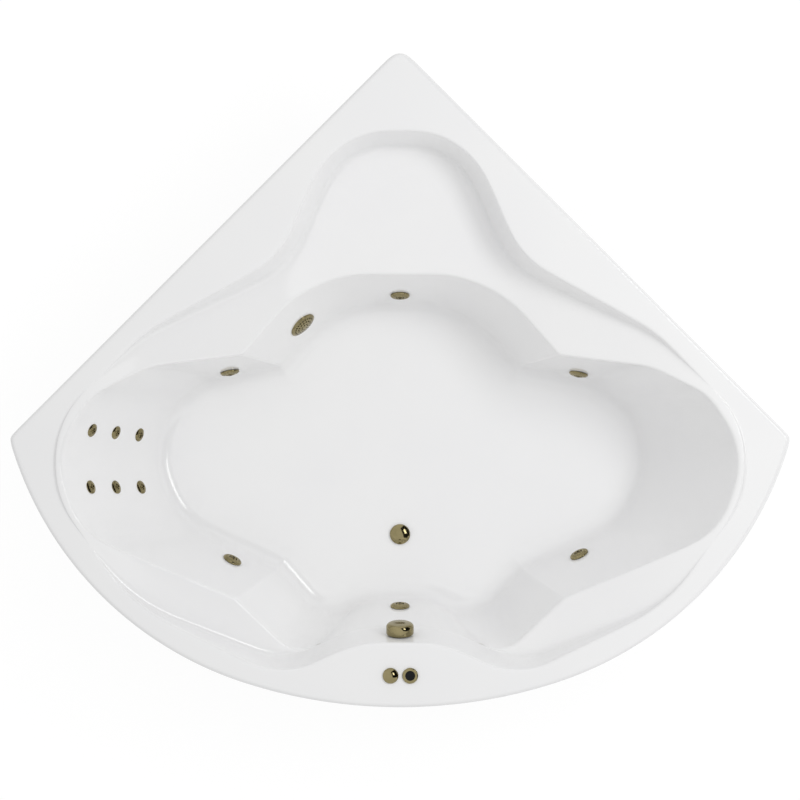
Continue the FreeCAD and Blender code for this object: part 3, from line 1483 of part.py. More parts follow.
# Deck controls: the air knob, and the push button with its tube to the control box
def make_controls():
    barrel = dim.control_hole_radius - dim.fit_gap
    low = -dim.control_barrel_length
    nipple_low = low - dim.control_nipple_length
    flange_top = dim.seat_gap + dim.control_flange_thickness
    hub = dim.control_pin_radius + dim.running_gap
    body = turned("air_control_body", [
        (0, low),
        (barrel, low),
        (barrel, dim.seat_gap),
        (dim.control_flange_radius, dim.seat_gap),
        (dim.control_flange_radius, flange_top),
        (hub, flange_top),
        (hub, flange_top - dim.control_pin_depth),
        (0, flange_top - dim.control_pin_depth),
    ])
    keep(placed(body, air_control_place), "air_control_body")

    rim = dim.control_flange_radius + dim.fit_gap
    dome = dome_radius(dim.air_knob_radius, dim.air_knob_height - dim.air_knob_edge)
    knob = turned("air_control_knob", [
        (0, flange_top - dim.control_pin_depth + dim.fit_gap),
        (dim.control_pin_radius, flange_top - dim.control_pin_depth + dim.fit_gap),
        (dim.control_pin_radius, flange_top + dim.fit_gap),
        (rim, flange_top + dim.fit_gap),
        (rim, dim.face_stand),
        (dim.air_knob_radius, dim.face_stand),
        (dim.air_knob_radius, dim.air_knob_edge, dome),
        (0, dim.air_knob_height),
    ])
    keep(placed(knob, air_control_place), "air_control_knob")

    well = dim.button_radius + dim.fit_gap
    switch = turned("air_switch_body", [
        (0, nipple_low),
        (dim.control_nipple_radius, nipple_low),
        (dim.control_nipple_radius, low),
        (barrel, low),
        (barrel, dim.seat_gap),
        (dim.bezel_radius, dim.seat_gap),
        (dim.bezel_radius, dim.bezel_height - dim.bezel_round, dim.bezel_round),
        (dim.bezel_radius - dim.bezel_round, dim.bezel_height),
        (well, dim.bezel_height),
        (well, dim.bezel_height - dim.button_well_depth),
        (0, dim.bezel_height - dim.button_well_depth),
    ])
    keep(placed(switch, air_switch_place), "air_switch_body")

    top = dim.bezel_height - dim.button_sink
    button = turned("air_switch_button", [
        (0, top - dim.button_depth),
        (dim.button_radius, top - dim.button_depth),
        (dim.button_radius, top),
        (0, top),
    ])
    keep(placed(button, air_switch_place), "air_switch_button")

    nuts = [
        lock_nut("air_control", dim.control_nut_radius, dim.control_nut_height, barrel, air_control_place),
        lock_nut("air_switch", dim.control_nut_radius, dim.control_nut_height, barrel, air_switch_place),
        lock_nut("suction", dim.suction_nut_radius, dim.suction_nut_height,
                 dim.suction_hole_radius - dim.fit_gap, frame_placement(suction_frame)),
    ]
    group("clamp_nuts", nuts)


def make_switch_tube():
    top_z = float(deck_z) - mm.control_barrel_length - mm.control_nipple_length - mm.seat_gap
    under_z = float(rail_high) + mm.rail_size / 2
    front_y = -float(control_y)
    rise_y = float(pump_y) - mm.base_width / 2 - mm.switch_tube_bend
    box_z = pump_axis_z + (mm.motor_radius + mm.box_high_rise) / 2
    tube = bent_path([
        Vector(mm.air_switch_x, front_y, top_z),
        Vector(mm.air_switch_x, front_y, (top_z + under_z) / 2),
        Vector(mm.switch_tube_x, front_y + mm.switch_tube_bend, under_z),
        Vector(mm.switch_tube_x, rise_y, under_z),
        Vector(mm.switch_tube_x, rise_y, box_z),
        Vector(mm.switch_tube_x, float(pump_y) - mm.box_width / 2 - mm.seat_gap, box_z),
    ], mm.switch_tube_bend)
    keep(solid_of("air_switch_tube", swept(tube, mm.switch_tube_radius)), "air_switch_tube")


# Cradle: board, rails, posts and feet
def box_tube(label, low, high, wall, axis):
    outer = block(label + "_outer", low, high)
    inner_low = [edge if index == axis else edge + wall for index, edge in enumerate(low)]
    inner_high = [edge if index == axis else edge - wall for index, edge in enumerate(high)]
    return cut(label, outer, block(label + "_inner", inner_low, inner_high))


def upright_holes(label, spots, radius, low, high):
    holes = []
    for x, y in spots:
        spot = Vector(float(x), float(y), float(low))
        holes.append(Part.makeCylinder(float(radius), float(high - low), spot))
    return solid_of(label, Part.makeCompound(holes))


def both_sides(x, y):
    return [(-x, y), (x, y)]


def make_cradle():
    half = dim.rail_size / 2
    bolt_spots = []
    for y in (-front_rail_y, -middle_rail_y, rear_rail_y):
        bolt_spots += both_sides(long_rail_x, y)
    foot_spots = both_sides(tip_post_x - dim.outer_foot_inset, -middle_rail_y)
    foot_spots += both_sides(long_rail_x + dim.inner_foot_lead, -middle_rail_y)
    foot_spots += both_sides(long_rail_x - dim.end_foot_inset, -front_rail_y)
    foot_spots += both_sides(long_rail_x - dim.end_foot_inset, rear_rail_y)

    bolt_hole = dim.bolt_radius + dim.fit_gap
    stud_hole = dim.stud_radius + dim.fit_gap
    bolt_holes = upright_holes("bolt_holes", bolt_spots, bolt_hole, rail_low, board_low - dim.rail_wall)
    stud_holes = upright_holes("stud_holes", foot_spots, stud_hole, rail_low, rail_low + dim.rail_wall)
    crossings = (
        ("front_rail", -front_rail_y, long_rail_x + dim.tip_rail_lap),
        ("middle_rail", -middle_rail_y, tip_post_x + dim.tip_rail_lap),
        ("rear_rail", rear_rail_y, rear_post_x + dim.rear_rail_lap),
    )
    for label, y, reach in crossings:
        tube = box_tube(label, (-reach, y - half, rail_low), (reach, y + half, rail_high), dim.rail_wall, 0)
        keep(cut(label + "_drilled", tube, bolt_holes, stud_holes), label)
    rails = []
    for name, x in (("left", -long_rail_x), ("right", long_rail_x)):
        tube = box_tube("long_rail_" + name, (x - half, -front_rail_y - half, rail_high),
                        (x + half, rear_rail_y + half, board_low), dim.rail_wall, 1)
        rails.append(cut("long_rail_%s_drilled" % name, tube, bolt_holes))
    group("long_rails", rails)

    board_front = -drain_y - dim.board_lead
    board = block("floor_board_blank", (-dim.board_length / 2, board_front, board_low),
                  (dim.board_length / 2, board_front + dim.board_width, shell_low))
    opening = cylinder("board_hole", dim.board_hole_radius, dim.board_thickness, board_low)
    bind(opening, "Placement.Base.y", -drain_y)
    keep(cut("floor_board", board, opening), "floor_board")

    posts = []
    half_post = dim.post_size / 2
    stands = (
        ("tip", tip_post_x, -middle_rail_y, rail_high),
        ("front", long_rail_x, -front_rail_y, board_low),
        ("rear", rear_post_x, rear_rail_y, rail_high),
    )
    for name, x, y, low in stands:
        for side, centre in (("left", -x), ("right", x)):
            near = (centre - half_post, y - half_post, low)
            far = (centre + half_post, y + half_post, deck_z - dim.shell_wall)
            posts.append(box_tube("post_%s_%s" % (name, side), near, far, dim.post_wall, 2))
    group("rim_posts", posts)

    feet, nuts, bolts = [], [], []
    for step, (x, y) in enumerate(foot_spots):
        foot = turned("foot_%d" % step, [
            (0, 0),
            (dim.pad_radius, 0),
            (dim.pad_radius, dim.pad_height),
            (dim.stud_radius, dim.pad_height),
            (dim.stud_radius, rail_high - dim.stud_top_gap),
            (0, rail_high - dim.stud_top_gap),
        ])
        feet.append(placed(foot, upright(float(x), float(y), 0)))
        nut_low = rail_low - dim.foot_nut_height
        outer = hexagon("foot_nut_%d_outer" % step, dim.foot_nut_radius, dim.foot_nut_height, nut_low)
        hole = cylinder("foot_nut_%d_hole" % step, stud_hole, dim.foot_nut_height, nut_low)
        nuts.append(placed(cut("foot_nut_%d" % step, outer, hole), upright(float(x), float(y), 0)))
    for step, (x, y) in enumerate(bolt_spots):
        shank_length = board_low - rail_low - dim.bolt_top_gap
        shank = cylinder("bolt_%d_shank" % step, dim.bolt_radius, shank_length, rail_low)
        head = hexagon("bolt_%d_head" % step, dim.bolt_head_radius, dim.bolt_head_height,
                       rail_low - dim.bolt_head_height)
        bolts.append(placed(fuse("bolt_%d" % step, shank, head), upright(float(x), float(y), 0)))
    group("levelling_feet", feet)
    group("foot_nuts", nuts)
    group("frame_bolts", bolts)


# The whole bath
make_shell()
water, air = make_rings()
make_jets(water, air)
make_back_jets()
make_suction()
make_pump()
make_pump_base()
make_waste()
make_overflow()
make_fitting_gaskets()
make_controls()
make_switch_tube()
make_cradle()

doc.recompute()
for thing in doc.Objects:
    if "Invalid" in thing.State or "Error" in thing.State:
        raise RuntimeError("failed object: " + thing.Label)
for thing in sub_parts:
    if thing.Shape.isNull() or not thing.Shape.isValid():
        raise RuntimeError("bad shape: " + thing.Label)

os.makedirs("parts", exist_ok=True)
for thing in sub_parts:
    thing.Shape.exportStep("parts/%s.step" % thing.Label)
print("%d sub-parts written" % len(sub_parts))
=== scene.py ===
# %% [markdown]
# # A corner jetted bath
# The bath stands in the corner of a room: two straight sides meet the walls, and a bowed front faces
# the room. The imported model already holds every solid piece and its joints. This lesson dresses it:
# a smooth acrylic skin, brass fittings, pipes, pump and cradle, each with its own finish.

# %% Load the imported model
import json
import math
import bmesh
import bpy
import numpy as np
from mathutils import Matrix, Vector
from mathutils.bvhtree import BVHTree


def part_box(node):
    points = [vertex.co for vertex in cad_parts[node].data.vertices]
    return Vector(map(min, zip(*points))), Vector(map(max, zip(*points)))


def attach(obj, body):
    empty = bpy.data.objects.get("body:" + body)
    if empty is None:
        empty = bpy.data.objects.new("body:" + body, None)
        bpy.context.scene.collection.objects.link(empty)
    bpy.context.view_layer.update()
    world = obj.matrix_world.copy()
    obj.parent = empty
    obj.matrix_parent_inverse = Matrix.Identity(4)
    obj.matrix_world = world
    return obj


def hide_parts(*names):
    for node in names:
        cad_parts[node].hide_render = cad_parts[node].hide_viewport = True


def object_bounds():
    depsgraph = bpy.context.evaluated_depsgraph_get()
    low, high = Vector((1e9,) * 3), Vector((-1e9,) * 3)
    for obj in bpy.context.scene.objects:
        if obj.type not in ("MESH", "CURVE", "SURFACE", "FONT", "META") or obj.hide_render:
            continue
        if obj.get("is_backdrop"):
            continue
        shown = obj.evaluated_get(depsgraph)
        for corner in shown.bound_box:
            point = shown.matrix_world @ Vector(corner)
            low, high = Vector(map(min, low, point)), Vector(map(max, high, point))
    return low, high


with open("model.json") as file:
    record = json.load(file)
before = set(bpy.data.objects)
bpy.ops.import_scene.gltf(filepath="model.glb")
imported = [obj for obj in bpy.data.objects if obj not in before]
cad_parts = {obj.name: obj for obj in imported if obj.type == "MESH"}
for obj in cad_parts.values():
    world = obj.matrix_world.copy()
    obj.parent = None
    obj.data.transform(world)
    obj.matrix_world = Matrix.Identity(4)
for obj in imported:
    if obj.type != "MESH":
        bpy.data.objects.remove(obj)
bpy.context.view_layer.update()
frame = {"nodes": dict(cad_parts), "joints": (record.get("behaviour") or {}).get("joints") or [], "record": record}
scene = bpy.context.scene
scene.view_settings.view_transform = "Standard"
nodes = frame["nodes"]
joints = {joint["name"]: joint for joint in frame["joints"]}
print("nodes:", len(nodes), "joints:", len(joints))

# %% [markdown]
# ## Camera
# The picture is taken from straight above with a long lens, so the deck keeps its true outline and the
# walls show only a little. A long lens far away gives the same view, with the room corner at the top.

# %% Camera above the deck
DECK = 0.550
VIEW_MIDDLE = Vector((0.0, -0.0545, DECK))
LENS = 250.0
VIEW_WIDTH = 2.202
SENSOR = 36.0

lens_data = bpy.data.cameras.new("overhead_camera")
lens_data.lens = LENS
lens_data.sensor_width = SENSOR
lens_data.clip_end = 100.0
camera = bpy.data.objects.new("overhead_camera", lens_data)
camera.location = VIEW_MIDDLE + Vector((0, 0, VIEW_WIDTH * LENS / SENSOR))
scene.collection.objects.link(camera)
scene.camera = camera
print("camera height:", round(camera.location.z, 3))

# %% [markdown]
# ## Outlines of the bath
# Three lines shape the inside of the bath: the edge of the flat floor, the top of the basin and the rim of the
# seat recess. Curve objects could draw them, but rows of corners with a round at each one take the same numbers as
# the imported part. They are given as shares of half the deck's width and depth, from the back middle round the
# left to the front middle, and mirrored for the right.

# %% Rounded outlines
HALF_WIDTH = 1.07763
HALF_DEPTH = 0.9015
FLOOR_LINE = [(-0.145, 0.182, 0.243), (-0.284, -0.012, 0.023), (-0.486, -0.057, 0.102),
              (-0.567, -0.126, 0.115), (-0.601, -0.242, 0.153), (-0.549, -0.399, 0.153),
              (-0.292, -0.543, 0.023), (-0.190, -0.684, 0.051), (-0.098, -0.621, 0.225)]
BASIN_LINE = [(-0.261, 0.371, 0.294), (-0.439, 0.089, 0.023), (-0.653, 0.047, 0.153),
              (-0.790, -0.045, 0.153), (-0.878, -0.219, 0.204), (-0.820, -0.459, 0.192),
              (-0.453, -0.691, 0.023), (-0.303, -0.888, 0.060), (-0.126, -0.802, 0.281)]
RIM_LINE = [(-0.170, 0.762, 0.217), (-0.308, 0.376, 0.230), (-0.650, 0.150, 0.383),
            (-0.880, -0.124, 0.243), (-0.880, -0.359, 0.255), (-0.680, -0.689, 0.434),
            (-0.303, -0.909, 0.194), (-0.095, -0.796, 0.383)]
SMALLEST_ROUND = 0.016
STATION_SPACING = 0.0228
RIM_SPACING = 0.003


def corners_of(shares):
    """The corners (x, y, round) in metres, left half and its mirror."""
    left = [np.array((x * HALF_WIDTH, y * HALF_DEPTH, r * HALF_WIDTH)) for x, y, r in shares]
    return left + [corner * (-1, 1, 1) for corner in reversed(left)]


def unit(start, end):
    step = end[:2] - start[:2]
    return step / np.hypot(*step)


def grown(corners, grow):
    """The outline moved outwards by a distance, with its rounds kept in step."""
    moved = []
    for index, (x, y, radius) in enumerate(corners):
        before = unit(corners[index - 1], corners[index])
        after = unit(corners[index], corners[(index + 1) % len(corners)])
        hollow = before[0] * after[1] - before[1] * after[0] > 0
        shift = grow / (1 + before @ after)
        side = before + after
        turn = radius + grow if hollow else max(radius - grow, SMALLEST_ROUND)
        moved.append(np.array((x + shift * side[1], y - shift * side[0], turn)))
    return moved


def runs_of(corners):
    """The bend at each corner and the straight run after it, with their lengths."""
    bends = []
    for index, corner in enumerate(corners):
        before = unit(corners[index - 1], corner)
        after = unit(corner, corners[(index + 1) % len(corners)])
        turn = math.acos(max(-1, min(1, before @ after)))
        side = 1 if before[0] * after[1] - before[1] * after[0] > 0 else -1
        start = corner[:2] - before * corner[2] * math.tan(turn / 2)
        end = corner[:2] + after * corner[2] * math.tan(turn / 2)
        centre = start + side * corner[2] * np.array((-before[1], before[0]))
        bends.append((start, end, centre, side * turn))
    return bends


def outline(corners, steps):
    """Points along an outline: so many round each corner and so many along the run after it."""
    bends = runs_of(corners)
    points = []
    for index, (start, end, centre, swing) in enumerate(bends):
        arm = start - centre
        for share in range(steps[index][0]):
            turn = swing * share / steps[index][0]
            points.append(centre + (arm[0] * math.cos(turn) - arm[1] * math.sin(turn),
                                    arm[0] * math.sin(turn) + arm[1] * math.cos(turn)))
        following = bends[(index + 1) % len(bends)][0]
        for share in range(steps[index][1]):
            points.append(end + (following - end) * share / steps[index][1])
    return np.array(points)


def steps_for(corners, spacing, fewest):
    """How many points each bend and run of an outline takes at one spacing."""
    bends = runs_of(corners)
    steps = []
    for index, (start, end, centre, swing) in enumerate(bends):
        following = bends[(index + 1) % len(bends)][0]
        bend = abs(swing) * np.hypot(*(start - centre))
        run = np.hypot(*(following - end))
        steps.append((max(fewest, round(bend / spacing)), max(1, round(run / spacing))))
    return steps


floor_corners = corners_of(FLOOR_LINE)
basin_corners = corners_of(BASIN_LINE)
rim_corners = corners_of(RIM_LINE)
station_steps = steps_for(basin_corners, STATION_SPACING, 5)
STATIONS = sum(bend + run for bend, run in station_steps)
rim_steps = steps_for(rim_corners, RIM_SPACING, 8)
print("stations round the basin:", STATIONS)

# %% [markdown]
# The deck's edge is two straight legs, a rounded room corner, two small tip rounds and a bowed front made
# of three arcs that run into each other. The arcs' middles follow from their radii, because a hand-drawn bow would
# show a kink where two arcs meet.

# %% Deck edge
LEG_CORNER = 0.91931
TIP_ROUND = 0.025
CORNER_ROUND = 0.043
FRONT_ROUND = 1.400
FRONT_TURN = math.radians(18)
EDGE_SPACING = 0.004


def deck_edge(inset):
    """Points round the deck, moved inwards by a distance."""
    slope = math.sqrt(0.5)
    middle = np.array((0.0, FRONT_ROUND - HALF_DEPTH))
    toward = np.array((-math.sin(FRONT_TURN), -math.cos(FRONT_TURN)))
    tip = np.array((-HALF_WIDTH, LEG_CORNER - HALF_WIDTH)) - middle
    along = tip @ toward
    side_round = (tip @ tip - 2 * FRONT_ROUND * along + FRONT_ROUND ** 2) / (2 * (FRONT_ROUND - along))
    side = middle + (FRONT_ROUND - side_round) * toward
    start = np.array((slope * TIP_ROUND, LEG_CORNER - slope * TIP_ROUND)) - side
    travel = -slope * start.sum()
    run = -travel + math.sqrt(travel ** 2 - (start @ start - (side_round - TIP_ROUND) ** 2))
    tip_centre = side + start - slope * run
    tip_turn = math.atan2(*(tip_centre - side)[::-1]) % (2 * math.pi)
    quarter = math.pi / 2
    rounds = [(np.array((0.0, LEG_CORNER - CORNER_ROUND / slope)), CORNER_ROUND, quarter, quarter * 1.5),
              (tip_centre, TIP_ROUND, quarter * 1.5, tip_turn),
              (side, side_round, tip_turn, 3 * quarter - FRONT_TURN),
              (middle, FRONT_ROUND, 3 * quarter - FRONT_TURN, 3 * quarter)]
    left = []
    for centre, radius, first, last in rounds:
        for turn in np.linspace(first, last, 60):
            left.append(centre + (radius - inset) * np.array((math.cos(turn), math.sin(turn))))
    points = left + [point * (-1, 1) for point in reversed(left)]
    run = []
    for here, following in zip(points, points[1:] + points[:1]):
        pieces = max(1, int(np.hypot(*(following - here)) / EDGE_SPACING))
        run += [here + (following - here) * step / pieces for step in range(pieces)]
    return np.array(run)


edge_box = deck_edge(0)
print("deck edge:", edge_box.min(0).round(4), edge_box.max(0).round(4))

# %% [markdown]
# ## Acrylic skin
# The real shell is one sheet of acrylic, heated and drawn into a mould, so every edge is soft. It could be cut out
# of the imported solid, but a skin made of rings shades more evenly. Floor and basin have the same corners, so the
# same stations serve both, and the ridges between the seats stay crisp. The wall runs straight from the bend above
# the floor up to the basin's edge, and a table of its outlines gives any height between.

# %% Walls, ledge and rim as functions of height
WASTE = np.array((0.0, -0.433892))
RAY_START = np.array((0.0, -0.4175))
FLOOR = 0.136
FLOOR_ROUND = 0.060
KNEE_TURN = math.radians(75)
KNEE = FLOOR + FLOOR_ROUND * (1 - math.cos(KNEE_TURN))
SEAT_DEPTH = 0.130
RIM_RUN = 0.038
LIP_TOP = DECK + 0.014
LEDGE_PLACES = (0.27, 0.80, 0.948, 1.1)
LEDGE_HEIGHTS = (-SEAT_DEPTH, -0.005, 0.009, 0.0234)
LEDGE_BLEND = 0.08


def ledge(x):
    """Height of the ledge: level over the corner seat, rising to a raised lip at both ends."""
    spread = np.abs(x)[..., None] + np.linspace(-LEDGE_BLEND, LEDGE_BLEND, 17)
    heights = np.interp(np.abs(spread), LEDGE_PLACES, LEDGE_HEIGHTS)
    return DECK + heights.mean(-1)


def at_height(flat, z):
    return np.column_stack((flat, np.broadcast_to(z, len(flat))))


knee_corners = grown(floor_corners, FLOOR_ROUND * math.sin(KNEE_TURN))
wall_heights = np.linspace(KNEE, LIP_TOP, 14)
wall_table = []
for z in wall_heights:
    share = (z - KNEE) / (DECK - KNEE)
    corners = [a + (b - a) * share for a, b in zip(knee_corners, basin_corners)]
    wall_table.append(outline(corners, station_steps))
wall_table = np.array(wall_table)


def from_table(heights, table, z):
    """Points of a sloping wall, one per station, at one height each."""
    x = [np.interp(value, heights, table[:, k, 0]) for k, value in enumerate(z)]
    y = [np.interp(value, heights, table[:, k, 1]) for k, value in enumerate(z)]
    return np.column_stack((x, y, z))


def wall_at(z):
    return from_table(wall_heights, wall_table, z)


def meeting(points_at):
    """Where a wall meets the ledge."""
    z = np.full(STATIONS, DECK - 0.05)
    for repeat in range(40):
        z = ledge(points_at(z)[:, 0])
    return points_at(z)


basin_edge = meeting(wall_at)
print("ledge from", basin_edge[:, 2].min().round(3), "to", basin_edge[:, 2].max().round(3))

# %% [markdown]
# From the basin's edge outwards, each station follows a ray from a point near the waste, so that ledge, rim and deck
# stay in line with the basin. At the room corner and at both tips the rays are drawn together, because evenly spread
# rays would cut those sharp corners off.

# %% Rays out to the rim and the deck's edge
spread = basin_edge[:, :2] - RAY_START
turns = np.arctan2(spread[:, 1], spread[:, 0])
CLOSER = [(90, 0.62, 9), (166.4, 0.72, 3.2), (13.6, 0.72, 3.2)]  # direction, share drawn in, width


def bunched(angles):
    """Rays drawn together at the room corner and at both tips, where the edge bends sharply."""
    moved = angles.copy()
    for turn, share, width in CLOSER:
        gap = np.angle(np.exp(1j * (angles - math.radians(turn))))
        moved -= share * gap * np.exp(-(gap / math.radians(width)) ** 2)
    return moved


def along_rays(points, angles):
    """Where an outline crosses each ray."""
    arm = points - RAY_START
    far = np.interp(angles, np.arctan2(arm[:, 1], arm[:, 0]), np.hypot(*arm.T), period=2 * math.pi)
    return RAY_START + far[:, None] * np.column_stack((np.cos(angles), np.sin(angles)))


def reach(points):
    return np.hypot(*(points[:, :2] - RAY_START).T)


def moved_out(points, least):
    """Points pushed out along their rays to a least distance from the start."""
    arm = points[:, :2] - RAY_START
    far = np.hypot(*arm.T)
    flat = RAY_START + arm * (np.maximum(far, least) / far)[:, None]
    return np.column_stack((flat, points[:, 2]))


rim_heights = np.append(np.linspace(DECK - 0.14, DECK, 8), LIP_TOP)
rim_table = []
for z in rim_heights:
    line = grown(rim_corners, min(0, z - DECK) * RIM_RUN / SEAT_DEPTH)
    rim_table.append(along_rays(outline(line, rim_steps), turns))
rim_table = np.array(rim_table)


def rim_at(z):
    return from_table(rim_heights, rim_table, z)


rim_foot = meeting(rim_at)
print("rays:", len(turns))

# %% [markdown]
# The rings run from the waste hole over floor, bend, wall, ledge, rim and deck down to the skirt. A crease between
# two slopes could get a Bevel, but a few rings along a soft curve give each crease its own radius.

# %% Sizes of the rings
SMALLEST_LEDGE = 0.0006
LIP_LEAN = 0.12
EDGE_ROUND = 0.012
EDGE_ROOM = 0.0003
EDGE_TURNS = (18, 36, 54, 72, 90)
BASIN_CREASE, FOOT_CREASE, TOP_CREASE = 0.008, 0.020, 0.008
WASTE_RINGS = (0.0225, 0.0275, 0.04)
FLOOR_SHARES = (0.12, 0.3, 0.5, 0.7, 0.86, 0.95, 1)
BEND_SHARES = (0.25, 0.5, 0.75, 1)
WALL_SHARES = (0.12, 0.27, 0.42, 0.57, 0.71, 0.83, 0.93)
DECK_SHARES = (0.15, 0.5, 0.85)
SKIRT_DROPS = (0.012, 0.034, 0.037)


def rounded(before, corner, after, size):
    """Five rings that round a crease between two slopes."""
    ends = []
    for other in (before, after):
        step = other - corner
        length = np.linalg.norm(step, axis=1)[:, None]
        ends.append(corner + step / length * np.minimum(size, 0.45 * length))
    made = []
    for t in (0, 0.25, 0.5, 0.75, 1):
        made.append((1 - t) ** 2 * ends[0] + 2 * t * (1 - t) * corner + t ** 2 * ends[1])
    return made


def between(first, last, shares):
    return [first + (last - first) * share for share in shares]


print("skirt reaches down to", round(DECK - EDGE_ROUND - max(SKIRT_DROPS), 3))

# %% Rings of the skin
floor_edge = at_height(outline(floor_corners, station_steps), FLOOR)
arm = floor_edge[:, :2] - WASTE
spoke = arm / np.hypot(*arm.T)[:, None]
rings = [at_height(WASTE + spoke * radius, FLOOR) for radius in WASTE_RINGS]
rings += between(rings[-1], floor_edge, FLOOR_SHARES)
for share in BEND_SHARES:
    turn = KNEE_TURN * share
    line = outline(grown(floor_corners, FLOOR_ROUND * math.sin(turn)), station_steps)
    rings.append(at_height(line, FLOOR + FLOOR_ROUND * (1 - math.cos(turn))))
knee = rings[-1]
rim_foot = moved_out(rim_foot, reach(basin_edge) + SMALLEST_LEDGE)
lip = np.maximum(0, rim_foot[:, 2] - DECK)
rim_top = rim_at(np.full(STATIONS, DECK))
rim_top = moved_out(rim_top, np.maximum(reach(wall_at(np.full(STATIONS, DECK))), reach(rim_foot)))
rim_top = moved_out(rim_top, reach(rim_top) + LIP_LEAN * lip + SMALLEST_LEDGE)
deck_turns = bunched(turns)
deck_run = at_height(along_rays(deck_edge(EDGE_ROOM + EDGE_ROUND), deck_turns), DECK)

basin_round = rounded(wall_at(basin_edge[:, 2] - 0.1), basin_edge, rim_foot, BASIN_CREASE)
foot_round = rounded(basin_edge, rim_foot, rim_top, FOOT_CREASE)
top_round = rounded(rim_foot, rim_top, deck_run, TOP_CREASE)
for share in WALL_SHARES:
    rings.append(wall_at(knee[:, 2] + (basin_round[0][:, 2] - knee[:, 2]) * share))
rings += basin_round
for level in between(basin_round[-1], foot_round[0], (0.33, 0.67)):
    rings.append(at_height(level[:, :2], ledge(level[:, 0])))
rings += foot_round + between(foot_round[-1], top_round[0], (0.35, 0.65)) + top_round
rings += between(top_round[-1], deck_run, DECK_SHARES) + [deck_run]
for turn in EDGE_TURNS:
    swing = math.radians(turn)
    line = along_rays(deck_edge(EDGE_ROOM + EDGE_ROUND * (1 - math.sin(swing))), deck_turns)
    rings.append(at_height(line, DECK - EDGE_ROUND * (1 - math.cos(swing))))
skirt = rings[-1]
rings += [skirt - (0, 0, drop) for drop in SKIRT_DROPS]
print("rings:", len(rings))

# %% [markdown]
# The skin starts as a circle round the waste hole, and that ring of edges is extruded again and again, each time onto
# the next ring of places. One level of subdivision then smooths the whole sheet.

# %% Extrude the skin ring by ring
def extrude_ring(bm, ring, places):
    """Pulls a ring of edges out to new places and returns the new ring."""
    edges = [bm.edges.get((a, b)) for a, b in zip(ring, ring[1:] + ring[:1])]
    made = bmesh.ops.extrude_edge_only(bm, edges=edges)["geom"]
    fresh = {item for item in made if isinstance(item, bmesh.types.BMVert)}
    moved = []
    for vert, place in zip(ring, places):
        twin = next(e.other_vert(vert) for e in vert.link_edges if e.other_vert(vert) in fresh)
        twin.co = place
        moved.append(twin)
    return moved


def finish_mesh(bm, name, smooth=True):
    """Turns a bmesh into an object at the origin."""
    mesh = bpy.data.meshes.new(name)
    bm.to_mesh(mesh)
    bm.free()
    if smooth:
        mesh.polygons.foreach_set("use_smooth", [True] * len(mesh.polygons))
    piece = bpy.data.objects.new(name, mesh)
    scene.collection.objects.link(piece)
    return piece


def baked(piece):
    """The piece's mesh with its modifiers applied, as a bmesh."""
    graph = bpy.context.evaluated_depsgraph_get()
    bm = bmesh.new()
    bm.from_mesh(piece.evaluated_get(graph).to_mesh())
    bpy.data.objects.remove(piece)
    return bm


skin = bmesh.new()
ring = bmesh.ops.create_circle(skin, segments=STATIONS, radius=0.02)["verts"]
for vert, place in zip(ring, rings[0]):
    vert.co = place
for places in rings[1:]:
    ring = extrude_ring(skin, ring, places)
bmesh.ops.recalc_face_normals(skin, faces=skin.faces)
skin.faces.ensure_lookup_table()
if skin.faces[0].normal.z < 0:
    bmesh.ops.reverse_faces(skin, faces=skin.faces)
draft = finish_mesh(skin, "skin_draft")
smoother = draft.modifiers.new("smooth", "SUBSURF")
smoother.levels = 1
smoother.render_levels = 1
skin = baked(draft)
print("skin faces:", len(skin.faces))

# %% [markdown]
# Every fitting sits in a drilled hole. A Boolean could cut the holes, but it leaves thin slivers that shade badly.
# Here the faces inside each circle are deleted, and the verts left round the gap are moved onto the circle, along
# the old surface, so that the skin stays smooth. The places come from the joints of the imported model, where a ring
# or nozzle turns on its own axis.

# %% Drill the holes
def punch(bm, tree, point, axis, radius):
    """Cuts a round hole and returns how many faces went."""
    side = axis.orthogonal().normalized()
    up = axis.cross(side)
    gone = []
    for face in bm.faces:
        arm = face.calc_center_median() - point
        if arm.length < radius * 1.5 and math.hypot(arm.dot(side), arm.dot(up)) < radius:
            gone.append(face)
    border = {vert for face in gone for vert in face.verts}
    bmesh.ops.delete(bm, geom=gone, context="FACES")
    for vert in [vert for vert in border if vert.is_valid]:
        arm = vert.co - point
        flat = side * arm.dot(side) + up * arm.dot(up)
        aim = point + flat * (radius / flat.length)
        hit = tree.ray_cast(aim + axis * 0.03, -axis, 0.06)[0]
        if hit:
            vert.co = hit
    return len(gone)


SUCTION = Vector((-0.27542, 0.15847, 0.26086)), Vector((0.6456, -0.6756, 0.3560))
DECK_CONTROLS = [(-0.026, -0.8135), (0.028, -0.8135)]
JET_HOLE, BACK_HOLE, SUCTION_HOLE, OVERFLOW_HOLE, CONTROL_HOLE = 0.0230, 0.0142, 0.0265, 0.0220, 0.0170
BACK_STAND = 0.001
UP = Vector((0, 0, 1))

jet_seats = {}
back_seats = {}
for name, joint in joints.items():
    if name.startswith("jet_ring_"):
        jet_seats[joint["child"]] = Vector(joint["pos_m"]), Vector(joint["axis"])
    if name.startswith("back_nozzle_"):
        low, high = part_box(joint["child"])
        ball = Vector(joint["pos_m"])
        axis = ((low + high) / 2 - ball).normalized()
        back_seats[joint["child"]] = ball + axis * BACK_STAND, axis
knob_joint = joints["overflow_knob_turn"]
overflow_seat = Vector(knob_joint["pos_m"]), Vector(knob_joint["axis"])

